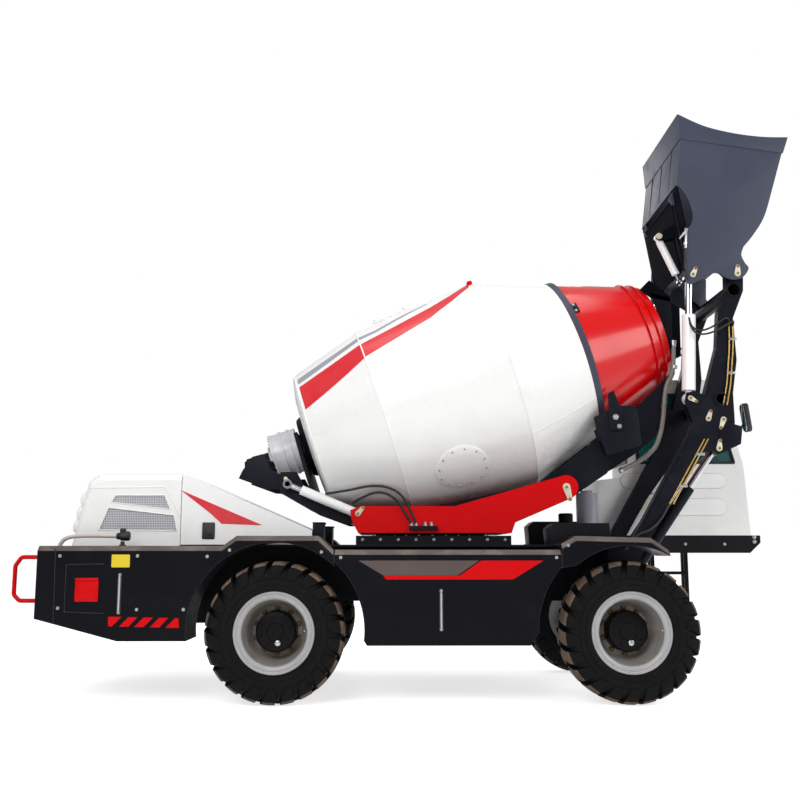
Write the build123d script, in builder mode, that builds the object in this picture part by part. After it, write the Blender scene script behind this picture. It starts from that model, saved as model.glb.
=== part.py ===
"""Self-loading concrete mixer, one named sub-part per STEP file.

Millimetres, +X forward, +Z up, ground at Z = 0, machine centreline at Y = 0.
"""
import os
from math import cos, hypot, pi, radians, sin

from build123d import *

# Wheels and axles
WHEEL_R = 580
WHEEL_Y = 1095
WHEEL_Z = WHEEL_R
ARCH_Z = 597.5
REAR_X = -1242
FRONT_X = 1691
KING_Y = 860
CORNERS = [("fl", FRONT_X, 1), ("fr", FRONT_X, -1), ("rl", REAR_X, 1), ("rr", REAR_X, -1)]

# Body sides
SIDE_OUT = 1290
SIDE_W = 455
SIDE_IN = SIDE_OUT - SIDE_W
HOOD_GAP = 5
HOOD_HALF = SIDE_IN - HOOD_GAP
HOOD_FLOOR = 1284.3
DECK_Z = 1298
BEVEL = 40

# Drum axis: origin on the gearbox, rising to the front
DRUM_X = -1345
DRUM_Z = 2159
DRUM_ANGLE = 18.25
DRUM_T = 10
AX = cos(radians(DRUM_ANGLE))
AZ = sin(radians(DRUM_ANGLE))
TRACK_T = 2935
TRACK_R = 800
TRACK_W = 62
TRACK_X = DRUM_X + AX * TRACK_T
TRACK_Z = DRUM_Z + AZ * TRACK_T
CONE_L = 865
MOUTH_T = TRACK_T + CONE_L
MOUTH_R = 500
ROLLER_R = 90
ROLLER_ANGLE = 35

# Slewing and tilting frame
SLEW_X = 89
SWING_Z = 1403
TILT_X, TILT_Z = 1297, 1814
TILT_FOOT = (-583, 1574)
TILT_EYE = (-1223, 1844)
TILT_LANE = 550

# Loader, offset to the right of the cab
ARM_Y = (-585, 445)
ARM_T = 100
LIFT_Y = (-465, 325)
BOOM_PIN = (1840, 1150)
LIFT_FOOT = (1834, 935)
LIFT_EYE = (2693, 2165)
BUCKET_PIN = (2919, 3783)
DUMP_FOOT = (2452, 2627)
DUMP_EYE = (2505, 3772)
BUCKET_Y0, BUCKET_Y1 = -710, 570
GATE_PIN = (2391, 4541)
GATE_LUG = (2268, 4213)
GATE_EYE = (2462, 3774)
GATE_CYL_Y = -440
GATE_LANE = 38

# Cab on the left
CAB_IN, CAB_OUT = 545, 1285
CAB_MID = (CAB_IN + CAB_OUT) / 2
CAB_WALL = 45
CAB_FLOOR = 1403
SEAT_HALF = CAB_OUT - CAB_MID - CAB_WALL - 100
DOOR_PIN = (2242, CAB_OUT - 1)

FIT = 0.3


def prism(points, y_low, y_high, mode=Mode.ADD):
    """Extrude an XZ outline between two Y planes."""
    with BuildSketch(Plane.XZ.offset(-y_high)) as outline:
        with BuildLine():
            Polyline(points, close=True)
        make_face()
    extrude(outline.sketch, amount=y_high - y_low, mode=mode)


def block(x0, x1, y0, y1, z0, z1, mode=Mode.ADD):
    """Box between two corners, in any order of Y."""
    with Locations(((x0 + x1) / 2, (y0 + y1) / 2, (z0 + z1) / 2)):
        Box(x1 - x0, abs(y1 - y0), z1 - z0, mode=mode)


def round_y(point, y0, y1, radius, mode=Mode.ADD):
    """Round bar along Y through an (x, z) point."""
    with Locations(Location((point[0], (y0 + y1) / 2, point[1]), (90, 0, 0))):
        Cylinder(radius, abs(y1 - y0), mode=mode)


def round_z(x, y, z0, z1, radius, mode=Mode.ADD):
    """Upright round bar."""
    with Locations((x, y, (z0 + z1) / 2)):
        Cylinder(radius, z1 - z0, mode=mode)


def stroke(a, b, y, start, end, radius, mode=Mode.ADD):
    """Round bar on the line a to b in the XZ plane, from start to end along it."""
    length = hypot(b[0] - a[0], b[1] - a[1])
    ux = (b[0] - a[0]) / length
    uz = (b[1] - a[1]) / length
    foot = (a[0] + ux * start, y, a[1] + uz * start)
    with BuildSketch(Plane(origin=foot, z_dir=(ux, 0, uz))) as disc:
        Circle(radius)
    extrude(disc.sketch, amount=end - start, mode=mode)


def on_axis(t):
    """Point on the drum axis, t from the gearbox."""
    return (DRUM_X + AX * t, 0, DRUM_Z + AZ * t)


def across(t):
    """Plane square to the drum axis: sketch x is +Y, sketch y is up and back."""
    return Plane(origin=on_axis(t), x_dir=(0, 1, 0), z_dir=(AX, 0, AZ))


def from_track(offsets):
    """XZ points given from the point where the track's plane meets the drum axis."""
    return [(TRACK_X + dx, TRACK_Z + dz) for dx, dz in offsets]


def spin_drum(points, mode=Mode.ADD):
    """Turn a (t, radius) outline round the drum axis."""
    with BuildSketch(Plane(origin=on_axis(0), x_dir=(AX, 0, AZ), z_dir=(0, -1, 0))) as section:
        with BuildLine():
            Polyline(points, close=True)
        make_face()
    revolve(section.sketch, axis=Axis(on_axis(0), (AX, 0, AZ)), mode=mode)


def spin_wheel(points, x, side, mode=Mode.ADD):
    """Turn an (outward, radius) outline round a wheel's axis."""
    centre = (x, side * WHEEL_Y, WHEEL_Z)
    with BuildSketch(Plane(origin=centre, x_dir=(0, side, 0), z_dir=(side, 0, 0))) as section:
        with BuildLine():
            Polyline(points, close=True)
        make_face()
    revolve(section.sketch, axis=Axis(centre, (0, side, 0)), mode=mode)


def save(builder, label):
    """Label a finished sub-part and write its STEP file."""
    builder.part.label = label
    export_step(builder.part, f"parts/{label}.step")


os.makedirs("parts", exist_ok=True)

# Chassis: rails, deck, front beam with the boom and lift brackets
with BuildPart() as chassis_frame:
    for side in (-1, 1):
        block(-3040, 1640, side * 330, side * 450, 800, 1100)
        block(-2110, 1640, side * 330, side * 450, 1100, 1280)
        for x in (-2700, -2060, -300, 700):
            block(x - 40, x + 40, side * 450, side * SIDE_IN, 900, 1000)
        for x in (REAR_X, FRONT_X):
            block(x - 100, x + 100, side * 330, side * 450, WHEEL_Z + 95, 800)
    for x in (-3000, -1600, -300, 700):
        block(x - 40, x + 40, -330, 330, 880, 1020)
    block(-940, 1770, -SIDE_IN, SIDE_IN, 1280, DECK_Z)
    for side in (-1, 1):
        block(-2118, -940, side * (SIDE_IN - 55), side * SIDE_IN, 1280, DECK_Z)
        block(-2090, -2030, side * (SIDE_IN - 45), side * (SIDE_IN - 5), 1000, 1280)
    block(1640, 1725, -668, 528, 850, 1280)
    block(1560, 1770, 528, SIDE_IN, 1227, 1280)
    for y in ARM_Y:
        out = -1 if y < 0 else 1
        face = y + out * (ARM_T / 2 + 5)
        prism([(1725, 1030), (1890, 1060), (1940, 1150), (1890, 1240), (1725, 1275)],
              min(face, face + out * 28), max(face, face + out * 28))
        round_y(BOOM_PIN, y - out * ARM_T / 2, face, 45)
    for y in LIFT_Y:
        for lug in (-39, 39):
            prism([(1725, 860), (1860, 880), (1895, 935), (1860, 990), (1725, 1010)],
                  y + lug - 9, y + lug + 9)
        round_y(LIFT_FOOT, y - 31, y + 31, 28)
save(chassis_frame, "chassis_frame")

with BuildPart() as axles:
    for x in (REAR_X, FRONT_X):
        block(x - 95, x + 95, -740, 740, WHEEL_Z - 95, WHEEL_Z + 95)
        with Locations((x, 0, WHEEL_Z)):
            Sphere(195)
        for side in (-1, 1):
            block(x - 70, x + 70, side * 740, side * 777, WHEEL_Z - 140, WHEEL_Z + 140)
            for z in (WHEEL_Z - 117.5, WHEEL_Z + 117.5):
                block(x - 60, x + 60, side * 777, side * 905, z - 22.5, z + 22.5)
            round_z(x, side * KING_Y, WHEEL_Z - 120, WHEEL_Z + 120, 25)
save(axles, "axles")

# Tyre: flat-sided carcass as (outward, corner radius), recessed round the rim's flange, and bar lugs
BEAD_R = 306.3
BEAD_Y = 157.5
FACETS = 22
BORE_FACETS = 12
CARCASS = [(-204, 470), (-150, 553), (150, 553), (204, 470)]
RECESS = [(BEAD_Y, 349), (205, 420)]
LUGS = 22
LUG_W = 100
LUG_TURN = 14
LUG = [(4, 545), (4, WHEEL_R - 1.15), (178, WHEEL_R - 16), (199, 480)]
RIM_BAND = [(-172, 334), (-158, 334), (-158, 306), (158, 306), (158, 334), (172, 334),
            (172, 290), (-172, 290)]
RIM_DISC = [(-145, 70 + FIT), (-145, 291), (-125, 291), (-125, 70 + FIT)]
RIM_HUB = [(-126, 70 + FIT), (-126, 168), (18, 168), (34, 150), (34, 0), (-95, 0), (-95, 70 + FIT)]



def rings(sections, facets, mode=Mode.ADD):
    """Straight-sided body through flat-sided rings along Y."""
    faces = []
    for outward, radius in sections:
        with BuildSketch(Plane(origin=(0, outward, 0), x_dir=(1, 0, 0), z_dir=(0, 1, 0))) as ring:
            RegularPolygon(radius, facets)
        faces.append(ring.sketch)
    loft(faces, ruled=True, mode=mode)


with BuildPart() as tread:
    rings(CARCASS, FACETS)
    for half in (-1, 1):
        for n in range(LUGS):
            down = radians(360 / LUGS * (n + (half + 1) / 4))
            turn = radians(LUG_TURN)
            out = Vector(sin(down), 0, -cos(down))
            along = Vector(cos(down) * sin(turn), half * cos(turn), sin(down) * sin(turn))
            with BuildSketch(Plane(origin=(0, 0, 0), x_dir=along, z_dir=along.cross(out))) as bar:
                with BuildLine():
                    Polyline(LUG, close=True)
                make_face()
            extrude(bar.sketch, amount=LUG_W / 2, both=True)
    bore = BEAD_R / cos(pi / BORE_FACETS)
    rings([(-205, bore), (205, bore)], BORE_FACETS, mode=Mode.SUBTRACT)
    for half in (-1, 1):
        rings([(half * outward, radius) for outward, radius in RECESS], BORE_FACETS, mode=Mode.SUBTRACT)

for tag, x, side in CORNERS:
    with BuildPart() as tyre:
        with Locations((x, side * WHEEL_Y, WHEEL_Z)):
            add(tread.part)
    save(tyre, f"tyre_{tag}")

    with BuildPart() as rim:
        spin_wheel(RIM_BAND, x, side)
        spin_wheel(RIM_DISC, x, side)
        spin_wheel(RIM_HUB, x, side)
    save(rim, f"rim_{tag}")

    with BuildPart() as knuckle:
        round_z(x, side * KING_Y, WHEEL_Z - 90, WHEEL_Z + 90, 75)
        round_y((x, WHEEL_Z), side * KING_Y, side * 985, 70)
        round_z(x, side * KING_Y, WHEEL_Z - 91, WHEEL_Z + 91, 25 + FIT, mode=Mode.SUBTRACT)
    save(knuckle, f"knuckle_{tag}")

with BuildPart() as engine_block:
    block(-2850, -1750, -300, 300, 830, 1480)
    for side in (-1, 1):
        for x in (-2700, -1900):
            block(x - 60, x + 60, side * 300, side * 330, 1000, 1060)
save(engine_block, "engine_block")

with BuildPart() as rear_bumper:
    block(-3190, -3040, -SIDE_IN, SIDE_IN, 640, 1284)
save(rear_bumper, "rear_bumper")


def bevel_top(builder, lowest):
    """Bevel the upper outer edges of a pair of side bodies."""
    edges = []
    for edge in builder.part.edges().filter_by(GeomType.LINE):
        if all(abs(abs(v.Y) - SIDE_OUT) < 1 and v.Z > lowest for v in edge.vertices()):
            if abs(edge.vertices()[0].X - edge.vertices()[1].X) > 5:
                edges.append(edge)
    chamfer(edges, BEVEL)


REAR_BOX = [(-3190, 697), (-2510, 518), (-1950, 518), (-1500, 1100), (-755, 1100), (-755, 1244),
            (-888, 1366), (-1564, 1366), (-1677, 1284), (-3190, 1284)]
with BuildPart() as rear_side_boxes:
    for low, high in ((-SIDE_OUT, -SIDE_IN), (SIDE_IN, SIDE_OUT)):
        prism(REAR_BOX, low, high)
    round_y((REAR_X, ARCH_Z), -1400, 1400, 715, mode=Mode.SUBTRACT)
    bevel_top(rear_side_boxes, 1200)
save(rear_side_boxes, "rear_side_boxes")

with BuildPart() as side_tanks:
    for low, high in ((-SIDE_OUT, -SIDE_IN), (SIDE_IN, SIDE_OUT)):
        prism([(-752, 1252), (1124, 1252), (1124, 900), (854, 481), (-480, 481), (-752, 900)], low, high)
    round_y((REAR_X, ARCH_Z), -1400, 1400, 740, mode=Mode.SUBTRACT)
    round_y((FRONT_X, ARCH_Z), -1400, 1400, 768, mode=Mode.SUBTRACT)
    bevel_top(side_tanks, 1200)
save(side_tanks, "side_tanks")

FENDER = [(1128, 1106), (1128, 1300), (1245, 1366), (1874, 1350), (2027, 1244), (2027, 1203),
          (1690, 1150), (1400, 1150)]
FENDER_LEFT = [(1128, 1106), (1128, 1300), (1245, 1366), (1765, 1353), (1765, 1150), (1400, 1150)]
with BuildPart() as front_fenders:
    prism(FENDER, -SIDE_OUT, -SIDE_IN)
    prism(FENDER_LEFT, SIDE_IN, SIDE_OUT)
    round_y((FRONT_X, ARCH_Z), -1400, 1400, 690, mode=Mode.SUBTRACT)
    bevel_top(front_fenders, 1220)
save(front_fenders, "front_fenders")

with BuildPart() as grab_handles:
    for side in (-1, 1):
        y = side * (SIDE_OUT - 230)
        with BuildLine() as bow:
            FilletPolyline((-3190, y, 1192), (-3400, y, 1192), (-3449, y, 1120), (-3449, y, 880),
                           (-3400, y, 831), (-3190, y, 831), radius=40)
        with BuildSketch(Plane(origin=(-3190, y, 1192), z_dir=(-1, 0, 0))) as ring:
            Circle(18)
        sweep(ring.sketch, path=bow.line)
save(grab_handles, "grab_handles")

# Hood: fixed front cowl and a rear lid hinged at its front top edge
with BuildPart() as front_cowl:
    prism([(-2118, DECK_Z), (-975, DECK_Z), (-975, 1420), (-2118, 1918)], -HOOD_HALF, HOOD_HALF)
    prism([(-2119, DECK_Z - 1), (-1003, DECK_Z - 1), (-1003, 1400), (-2119, 1888)], 28 - HOOD_HALF, HOOD_HALF - 28,
          mode=Mode.SUBTRACT)
save(front_cowl, "front_cowl")

GRILLES = [
    [(-2698, 1726), (-2268, 1726), (-2216, 1605), (-2730, 1665)],
    [(-2754, 1618), (-2183, 1553), (-2150, 1415), (-2831, 1424)],
]
with BuildPart() as engine_hood:
    prism([(-3075, HOOD_FLOOR), (-2123, HOOD_FLOOR), (-2123, 1918), (-2849, 1914), (-2945, 1850),
           (-3020, 1540)], -HOOD_HALF, HOOD_HALF)
    corner = engine_hood.edges().filter_by(Axis.Y, reverse=True).filter_by(GeomType.LINE)
    upper = [e for e in corner if min(v.X for v in e.vertices()) < -2200
             and max(v.Z for v in e.vertices()) > 1400 and max(v.X for v in e.vertices()) < -2100]
    fillet(upper, 60)
    prism([(-3045, HOOD_FLOOR - 1), (-2122, HOOD_FLOOR - 1), (-2122, 1888), (-2835, 1884),
           (-2918, 1835), (-2990, 1540)], 30 - HOOD_HALF, HOOD_HALF - 30, mode=Mode.SUBTRACT)
    for grille in GRILLES:
        prism(grille, -HOOD_HALF - 70, HOOD_HALF + 70, mode=Mode.SUBTRACT)
save(engine_hood, "engine_hood")

with BuildPart() as hood_grilles:
    for grille in GRILLES:
        for side in (-1, 1):
            y = side * (HOOD_HALF - 12)
            prism(grille, y - 4, y + 4)
save(hood_grilles, "hood_grilles")

# Lamps down the hood's rear face: x and z of the seat, and the face's outward x and z
LAMPS = [(-3037, 1460, -0.9778, 0.2101), (-3012, 1573, -0.9721, 0.2352), (-2982.5, 1695, -0.9721, 0.2352)]
LAMP_IN = 106
with BuildPart() as rear_lamps:
    for side in (-1, 1):
        for x, z, nx, nz in LAMPS:
            seat = (x + nx * FIT, side * (HOOD_HALF - LAMP_IN), z + nz * FIT)
            with BuildSketch(Plane(origin=seat, z_dir=(nx, 0, nz))) as lamp:
                Circle(42)
            extrude(lamp.sketch, amount=28)
save(rear_lamps, "rear_lamps")

# Slewing base, swing frame and tilting cradle
with BuildPart() as slew_base:
    block(-600, 795, -590, 590, DECK_Z, 1380)
    round_z(SLEW_X, 0, 1380, SWING_Z - FIT, 520)
save(slew_base, "slew_base")

with BuildPart() as hydraulic_tank:
    round_z(1660, 300, DECK_Z, 1815, 104)
    round_z(1660, 300, 1815, 1840, 60)
save(hydraulic_tank, "hydraulic_tank")

SWING_EYE_R = 108
SWING_SIDE = [(-579, SWING_Z), (795, SWING_Z), (832, 1501), (TILT_X + 44, TILT_Z - 98), (TILT_X - 35, TILT_Z + 102),
              (288, 1643), (-560, 1643), (-650, 1606), (-640, 1520)]
with BuildPart() as swing_frame:
    for low, high in ((-625, -600), (600, 625)):
        prism(SWING_SIDE, low, high)
        round_y((TILT_X, TILT_Z), low, high, SWING_EYE_R)
    block(-579, 795, -600, 600, SWING_Z, SWING_Z + 36)
    for side in (-1, 1):
        round_y((TILT_X, TILT_Z), side * 600, side * 425, 45)
        round_y(TILT_FOOT, side * 600, side * (TILT_LANE - 36), 26)
save(swing_frame, "swing_frame")

CRADLE_SIDE = [(-1300, 1770), (-1000, 1600), (-700, 1490), (820, 1490), (1340, 1710),
               *from_track([(258, -1128), (348, -948), (168, -818)]), (1072, 1850), (-100, 1610), (-830, 1650), (-1060, 1790),
               (-1150, 1960), (-1300, 1960)]
CRADLE_NOSE = [(1420, 1800), *from_track([(318, -1088), (548, -938), (748, -778), (818, -458), (952, -178),
                                          (952, -138), (888, -198), (260, -818)]), (1420, 2040)]
MOUNT = [(-480, -490), (480, -490), (480, -250), (300, 130), (-300, 130), (-480, -250)]
ROLL_SIN = sin(radians(ROLLER_ANGLE))
ROLL_COS = cos(radians(ROLLER_ANGLE))
ROLL_AT = TRACK_R + ROLLER_R + FIT
with BuildPart() as cradle_frame:
    for low, high in ((-480, -420), (420, 480)):
        prism(CRADLE_SIDE, low, high)
    for low, high in ((-385, -325), (325, 385)):
        prism(CRADLE_NOSE, low, high)
    for point in ((1500, 1945), (-650, 1535), (500, 1570), *from_track([(218, -1018)])):
        round_y(point, -480, 480, 42)
    with BuildSketch(across(190)) as mount:
        with BuildLine():
            Polyline(MOUNT, close=True)
        make_face()
        Circle(95, mode=Mode.SUBTRACT)
    extrude(mount.sketch, amount=35)
    for side in (-1, 1):
        with BuildSketch(across(TRACK_T - 80)) as bracket:
            with Locations((side * ROLL_AT * ROLL_SIN, -ROLL_AT * ROLL_COS - 130)):
                Rectangle(150, 240)
        extrude(bracket.sketch, amount=40)
        prism(from_track([(934, -178), (952, -178), (952, 52), (934, 52)]), min(side * 370, side * 385),
              max(side * 370, side * 385))
        round_y(TILT_EYE, side * 420, side * (TILT_LANE - 42), 36)
    for side in (-1, 1):
        round_y((TILT_X, TILT_Z), side * 419, side * 481, 45 + FIT, mode=Mode.SUBTRACT)
save(cradle_frame, "cradle_frame")

with BuildPart() as support_rollers:
    for side in (-1, 1):
        centre = (side * ROLL_AT * ROLL_SIN, -ROLL_AT * ROLL_COS)
        with BuildSketch(across(TRACK_T + 7)) as roller:
            with Locations(centre):
                Circle(ROLLER_R)
        extrude(roller.sketch, amount=52)
        with BuildSketch(across(TRACK_T - 40)) as shaft:
            with Locations(centre):
                Circle(28)
        extrude(shaft.sketch, amount=47)
save(support_rollers, "support_rollers")

with BuildPart() as drum_gearbox:
    with BuildSketch(across(-60)) as casing:
        Circle(215)
    extrude(casing.sketch, amount=250)
    with BuildSketch(across(190)) as shaft:
        Circle(90)
    extrude(shaft.sketch, amount=160)
save(drum_gearbox, "drum_gearbox")

with BuildPart() as drum_motor:
    with BuildSketch(across(-330)) as motor:
        with Locations((0, -40)):
            Circle(108)
    extrude(motor.sketch, amount=270)
save(drum_motor, "drum_motor")

HOPPER_SIDE = from_track([(758, 612), (948, 562), (948, 2), (940, 2)])
HOPPER_FRONT = from_track([(934, 563), (948, 562), (948, 2), (934, 2)])
with BuildPart() as feed_hopper:
    for low, high in ((-370, -356), (356, 370)):
        prism(HOPPER_SIDE, low, high)
    prism(HOPPER_FRONT, -370, 370)
save(feed_hopper, "feed_hopper")

HOSE_R = 22
HOSE_Y = -(385 + HOSE_R + FIT)
with BuildPart() as water_hose:
    with BuildLine() as run:
        FilletPolyline((2385, HOSE_Y, 3216), (2385, HOSE_Y, 2905), (2290, HOSE_Y, 2790), (2250, HOSE_Y, 2360),
                       (2130, HOSE_Y, 2105), (1830, HOSE_Y, 1975), radius=60)
    with BuildSketch(Plane(origin=(2385, HOSE_Y, 3216), z_dir=(0, 0, -1))) as bore:
        Circle(HOSE_R)
    sweep(bore.sketch, path=run.line)
save(water_hose, "water_hose")

# Drum: white shell, red cone, roller track
SHELL = [(357, 700), (1035, 935), (2230, 1045), (TRACK_T, TRACK_R - 1)]
CONE = [(TRACK_T, TRACK_R - 1), (MOUTH_T, MOUTH_R)]
with BuildPart() as drum_shell:
    spin_drum([(320, 90 + FIT), (300, 500), (330, 650), *SHELL,
               (TRACK_T, TRACK_R - 1 - DRUM_T), (2230, 1045 - DRUM_T), (1035, 935 - DRUM_T), (366, 700 - DRUM_T),
               (345, 640), (318, 500), (350, 90 + FIT)])
save(drum_shell, "drum_shell")

with BuildPart() as drum_cone:
    spin_drum([*CONE, (MOUTH_T, MOUTH_R - DRUM_T), (TRACK_T, TRACK_R - 1 - DRUM_T)])
    for t in (MOUTH_T - 160, MOUTH_T - 70):
        r = TRACK_R - 1 - (t - TRACK_T) * (TRACK_R - 1 - MOUTH_R) / CONE_L
        spin_drum([(t, r - 4), (t, r + 20), (t + 14, r + 15), (t + 14, r - 8)])
save(drum_cone, "drum_cone")

with BuildPart() as drum_track:
    spin_drum([(TRACK_T + 4, TRACK_R - 1.5), (TRACK_T + 4, TRACK_R), (TRACK_T + TRACK_W, TRACK_R),
               (TRACK_T + TRACK_W, TRACK_R - 21.5)])
save(drum_track, "drum_track")


def cylinder_pair(lanes, a, b, neck, barrel, rod_from, barrel_r, rod_r, foot_r, foot_w, part_name):
    """Barrel or rod of a hydraulic cylinder in each lane."""
    length = hypot(b[0] - a[0], b[1] - a[1])
    for y in lanes:
        if part_name == "barrel":
            stroke(a, b, y, 0, neck + 1, foot_w)
            stroke(a, b, y, neck, barrel, barrel_r)
            round_y(a, y - foot_w, y + foot_w, foot_r)
            stroke(a, b, y, max(neck, foot_r) + 12, barrel + 1, rod_r + FIT, mode=Mode.SUBTRACT)
        else:
            stroke(a, b, y, rod_from, length, rod_r)
            round_y(b, y - foot_w, y + foot_w, foot_r)


with BuildPart() as tilt_barrels:
    cylinder_pair((-TILT_LANE, TILT_LANE), TILT_FOOT, TILT_EYE, 30, 560, 130, 44, 26, 46, 30, "barrel")
    for y in (-TILT_LANE, TILT_LANE):
        round_y(TILT_FOOT, y - 50, y + 50, 26 + FIT, mode=Mode.SUBTRACT)
save(tilt_barrels, "tilt_barrels")

with BuildPart() as tilt_rods:
    cylinder_pair((-TILT_LANE, TILT_LANE), TILT_FOOT, TILT_EYE, 30, 560, 130, 44, 26, 42, 30, "rod")
    for y in (-TILT_LANE, TILT_LANE):
        round_y(TILT_EYE, y - 40, y + 40, 24, mode=Mode.SUBTRACT)
save(tilt_rods, "tilt_rods")

# Loader boom
ARM_LOW = [(1768, 1160), (1905, 1120), (2273, 1744), (2600, 2180), (2680, 2110), (2765, 2140),
           (2850, 2400), (2847, 2675), (2589, 2675), (2415, 2288)]
ARM_HIGH = [(2589, 2675), (2847, 2675), (2897, 2984), (2883, 3380), (2991, 3640), (2999, 3783),
            (2839, 3783), (2835, 3640), (2747, 3440), (2718, 3108)]
DUMP_EAR = [(2400, 2600), (2420, 2680), (2490, 2690), (2600, 2655), (2570, 2470), (2470, 2400)]
with BuildPart() as boom:
    for y in ARM_Y:
        prism(ARM_LOW, y - ARM_T / 2, y + ARM_T / 2)
        prism(ARM_HIGH, y - ARM_T / 2, y + ARM_T / 2)
        round_y(BOOM_PIN, y - ARM_T / 2, y + ARM_T / 2, 100)
        round_y(BUCKET_PIN, y - ARM_T / 2, y + ARM_T / 2, 80)
        for lug in (-42, 42):
            prism(DUMP_EAR, y + lug - 8, y + lug + 8)
        block(2380, 2517, y - 34, y + 34, 2560, 2720, mode=Mode.SUBTRACT)
        round_y(DUMP_FOOT, y - 40, y + 40, 25)
    round_y((2730, 2619), ARM_Y[0] - 70, ARM_Y[1] + 70, 58)
    round_y((2730, 2619), ARM_Y[0] - 71, ARM_Y[1] + 71, 46, mode=Mode.SUBTRACT)
    round_y((2903, 3649), ARM_Y[0] - 62, ARM_Y[1] + 62, 68)
    round_y((2903, 3649), ARM_Y[0] - 63, ARM_Y[1] + 63, 56, mode=Mode.SUBTRACT)
    for y in ARM_Y:
        round_y(BOOM_PIN, y - 51, y + 51, 45 + FIT, mode=Mode.SUBTRACT)
        round_y(BUCKET_PIN, y - 51, y + 51, 30 + FIT, mode=Mode.SUBTRACT)
save(boom, "boom")

with BuildPart() as lift_barrels:
    cylinder_pair(LIFT_Y, LIFT_FOOT, LIFT_EYE, 72, 1080, 560, 55, 32, 52, 25, "barrel")
    for y in LIFT_Y:
        round_y(LIFT_FOOT, y - 40, y + 40, 28 + FIT, mode=Mode.SUBTRACT)
save(lift_barrels, "lift_barrels")

with BuildPart() as lift_rods:
    cylinder_pair(LIFT_Y, LIFT_FOOT, LIFT_EYE, 72, 1080, 560, 55, 32, 54, 25, "rod")
    for y in LIFT_Y:
        round_y(LIFT_EYE, y - 40, y + 40, 30, mode=Mode.SUBTRACT)
save(lift_rods, "lift_rods")

with BuildPart() as dump_barrels:
    cylinder_pair(ARM_Y, DUMP_FOOT, DUMP_EYE, 76, 790, 260, 62, 34, 56, 30, "barrel")
    for y in ARM_Y:
        round_y(DUMP_FOOT, y - 40, y + 40, 25 + FIT, mode=Mode.SUBTRACT)
save(dump_barrels, "dump_barrels")

with BuildPart() as dump_rods:
    cylinder_pair(ARM_Y, DUMP_FOOT, DUMP_EYE, 76, 790, 260, 62, 34, 52, 28, "rod")
    for y in ARM_Y:
        round_y(DUMP_EYE, y - 40, y + 40, 27, mode=Mode.SUBTRACT)
save(dump_rods, "dump_rods")

# Bucket: side plates, back wall, curved floor, ears
BUCKET_SIDE = [(2433, 5344), (2700, 5235), (3050, 5180), (3468, 5118), (3420, 4959), (3305, 4622),
               (3115, 4185), (2990, 4027), (3030, 3864), (2960, 3725), (2880, 3728), (2740, 3800),
               (2590, 3730), (2454, 3699), (2494, 4170), (2549, 4364), (2391, 4640), (2451, 5104)]
BACK_WALL = [(2433, 5344), (2451, 5104), (2391, 4660), (2409, 4655), (2469, 5102), (2452, 5338)]
FLOOR = [(2510, 3905), (2985, 4027), (3112, 4187), (3300, 4622), (3415, 4959), (3462, 5119),
         (3444, 5122), (3397, 4963), (3283, 4630), (3096, 4197), (2975, 4043), (2510, 3923)]
LOWER_WALL = [(2391, 4640), (2409, 4640), (2528, 3923), (2510, 3905)]
with BuildPart() as bucket:
    prism(BUCKET_SIDE, BUCKET_Y0, BUCKET_Y0 + 20)
    prism(BUCKET_SIDE, BUCKET_Y1 - 20, BUCKET_Y1)
    prism(BACK_WALL, BUCKET_Y0, BUCKET_Y1)
    prism(FLOOR, BUCKET_Y0, BUCKET_Y1)
    prism(LOWER_WALL, BUCKET_Y0, -530)
    prism(LOWER_WALL, 390, BUCKET_Y1)
    for y in ARM_Y:
        out = -1 if y < 0 else 1
        inner = y - out * (ARM_T / 2 + 17)
        prism([(2700, 3960), (2985, 4030), (2972, 3783), (2919, 3729), (2866, 3783)], inner - 12, inner + 12)
        round_y(BUCKET_PIN, inner, y + out * 110, 30)
        for lug in (-45, 45):
            prism([(2512, 3922), (2640, 3940), (2556, 3750), (2505, 3722), (2454, 3750)],
                  y + lug - 9, y + lug + 9)
    for low, high in ((-560, -531), (391, 420)):
        prism([(2355, 4560), (2375, 4590), (2400, 4640), (2430, 4500), (2391, 4505)], low, high)
    for low, high in ((-561, -530), (390, 421)):
        round_y(GATE_PIN, low, high, 16 + FIT, mode=Mode.SUBTRACT)
save(bucket, "bucket")

GATE_PLATE = [(2383, 4541), (2399, 4541), (2500, 3880), (2484, 3878)]
with BuildPart() as gate:
    prism(GATE_PLATE, -524, 384)
    round_y(GATE_PIN, -558, 418, 16)
    block(2300, 2560, GATE_CYL_Y - GATE_LANE, GATE_CYL_Y + GATE_LANE, 3800, 4243, mode=Mode.SUBTRACT)
    for lug in (-GATE_LANE - 8, GATE_LANE + 8):
        prism([(2300, 4262), (2420, 4330), (2440, 4200), (2268, 4170), (2236, 4200)],
              GATE_CYL_Y + lug - 8, GATE_CYL_Y + lug + 8)
    round_y(GATE_LUG, GATE_CYL_Y - GATE_LANE - 1, GATE_CYL_Y + GATE_LANE + 1, 16)
save(gate, "gate")

with BuildPart() as gate_barrel:
    cylinder_pair((GATE_CYL_Y,), GATE_LUG, GATE_EYE, 20, 400, 70, 30, 17, 30, 25, "barrel")
    round_y(GATE_LUG, GATE_CYL_Y - 40, GATE_CYL_Y + 40, 16 + FIT, mode=Mode.SUBTRACT)
save(gate_barrel, "gate_barrel")

with BuildPart() as gate_rod:
    cylinder_pair((GATE_CYL_Y,), GATE_LUG, GATE_EYE, 20, 400, 70, 30, 17, 28, 22, "rod")
    round_y(GATE_EYE, GATE_CYL_Y - 40, GATE_CYL_Y + 40, 15, mode=Mode.SUBTRACT)
save(gate_rod, "gate_rod")

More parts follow.
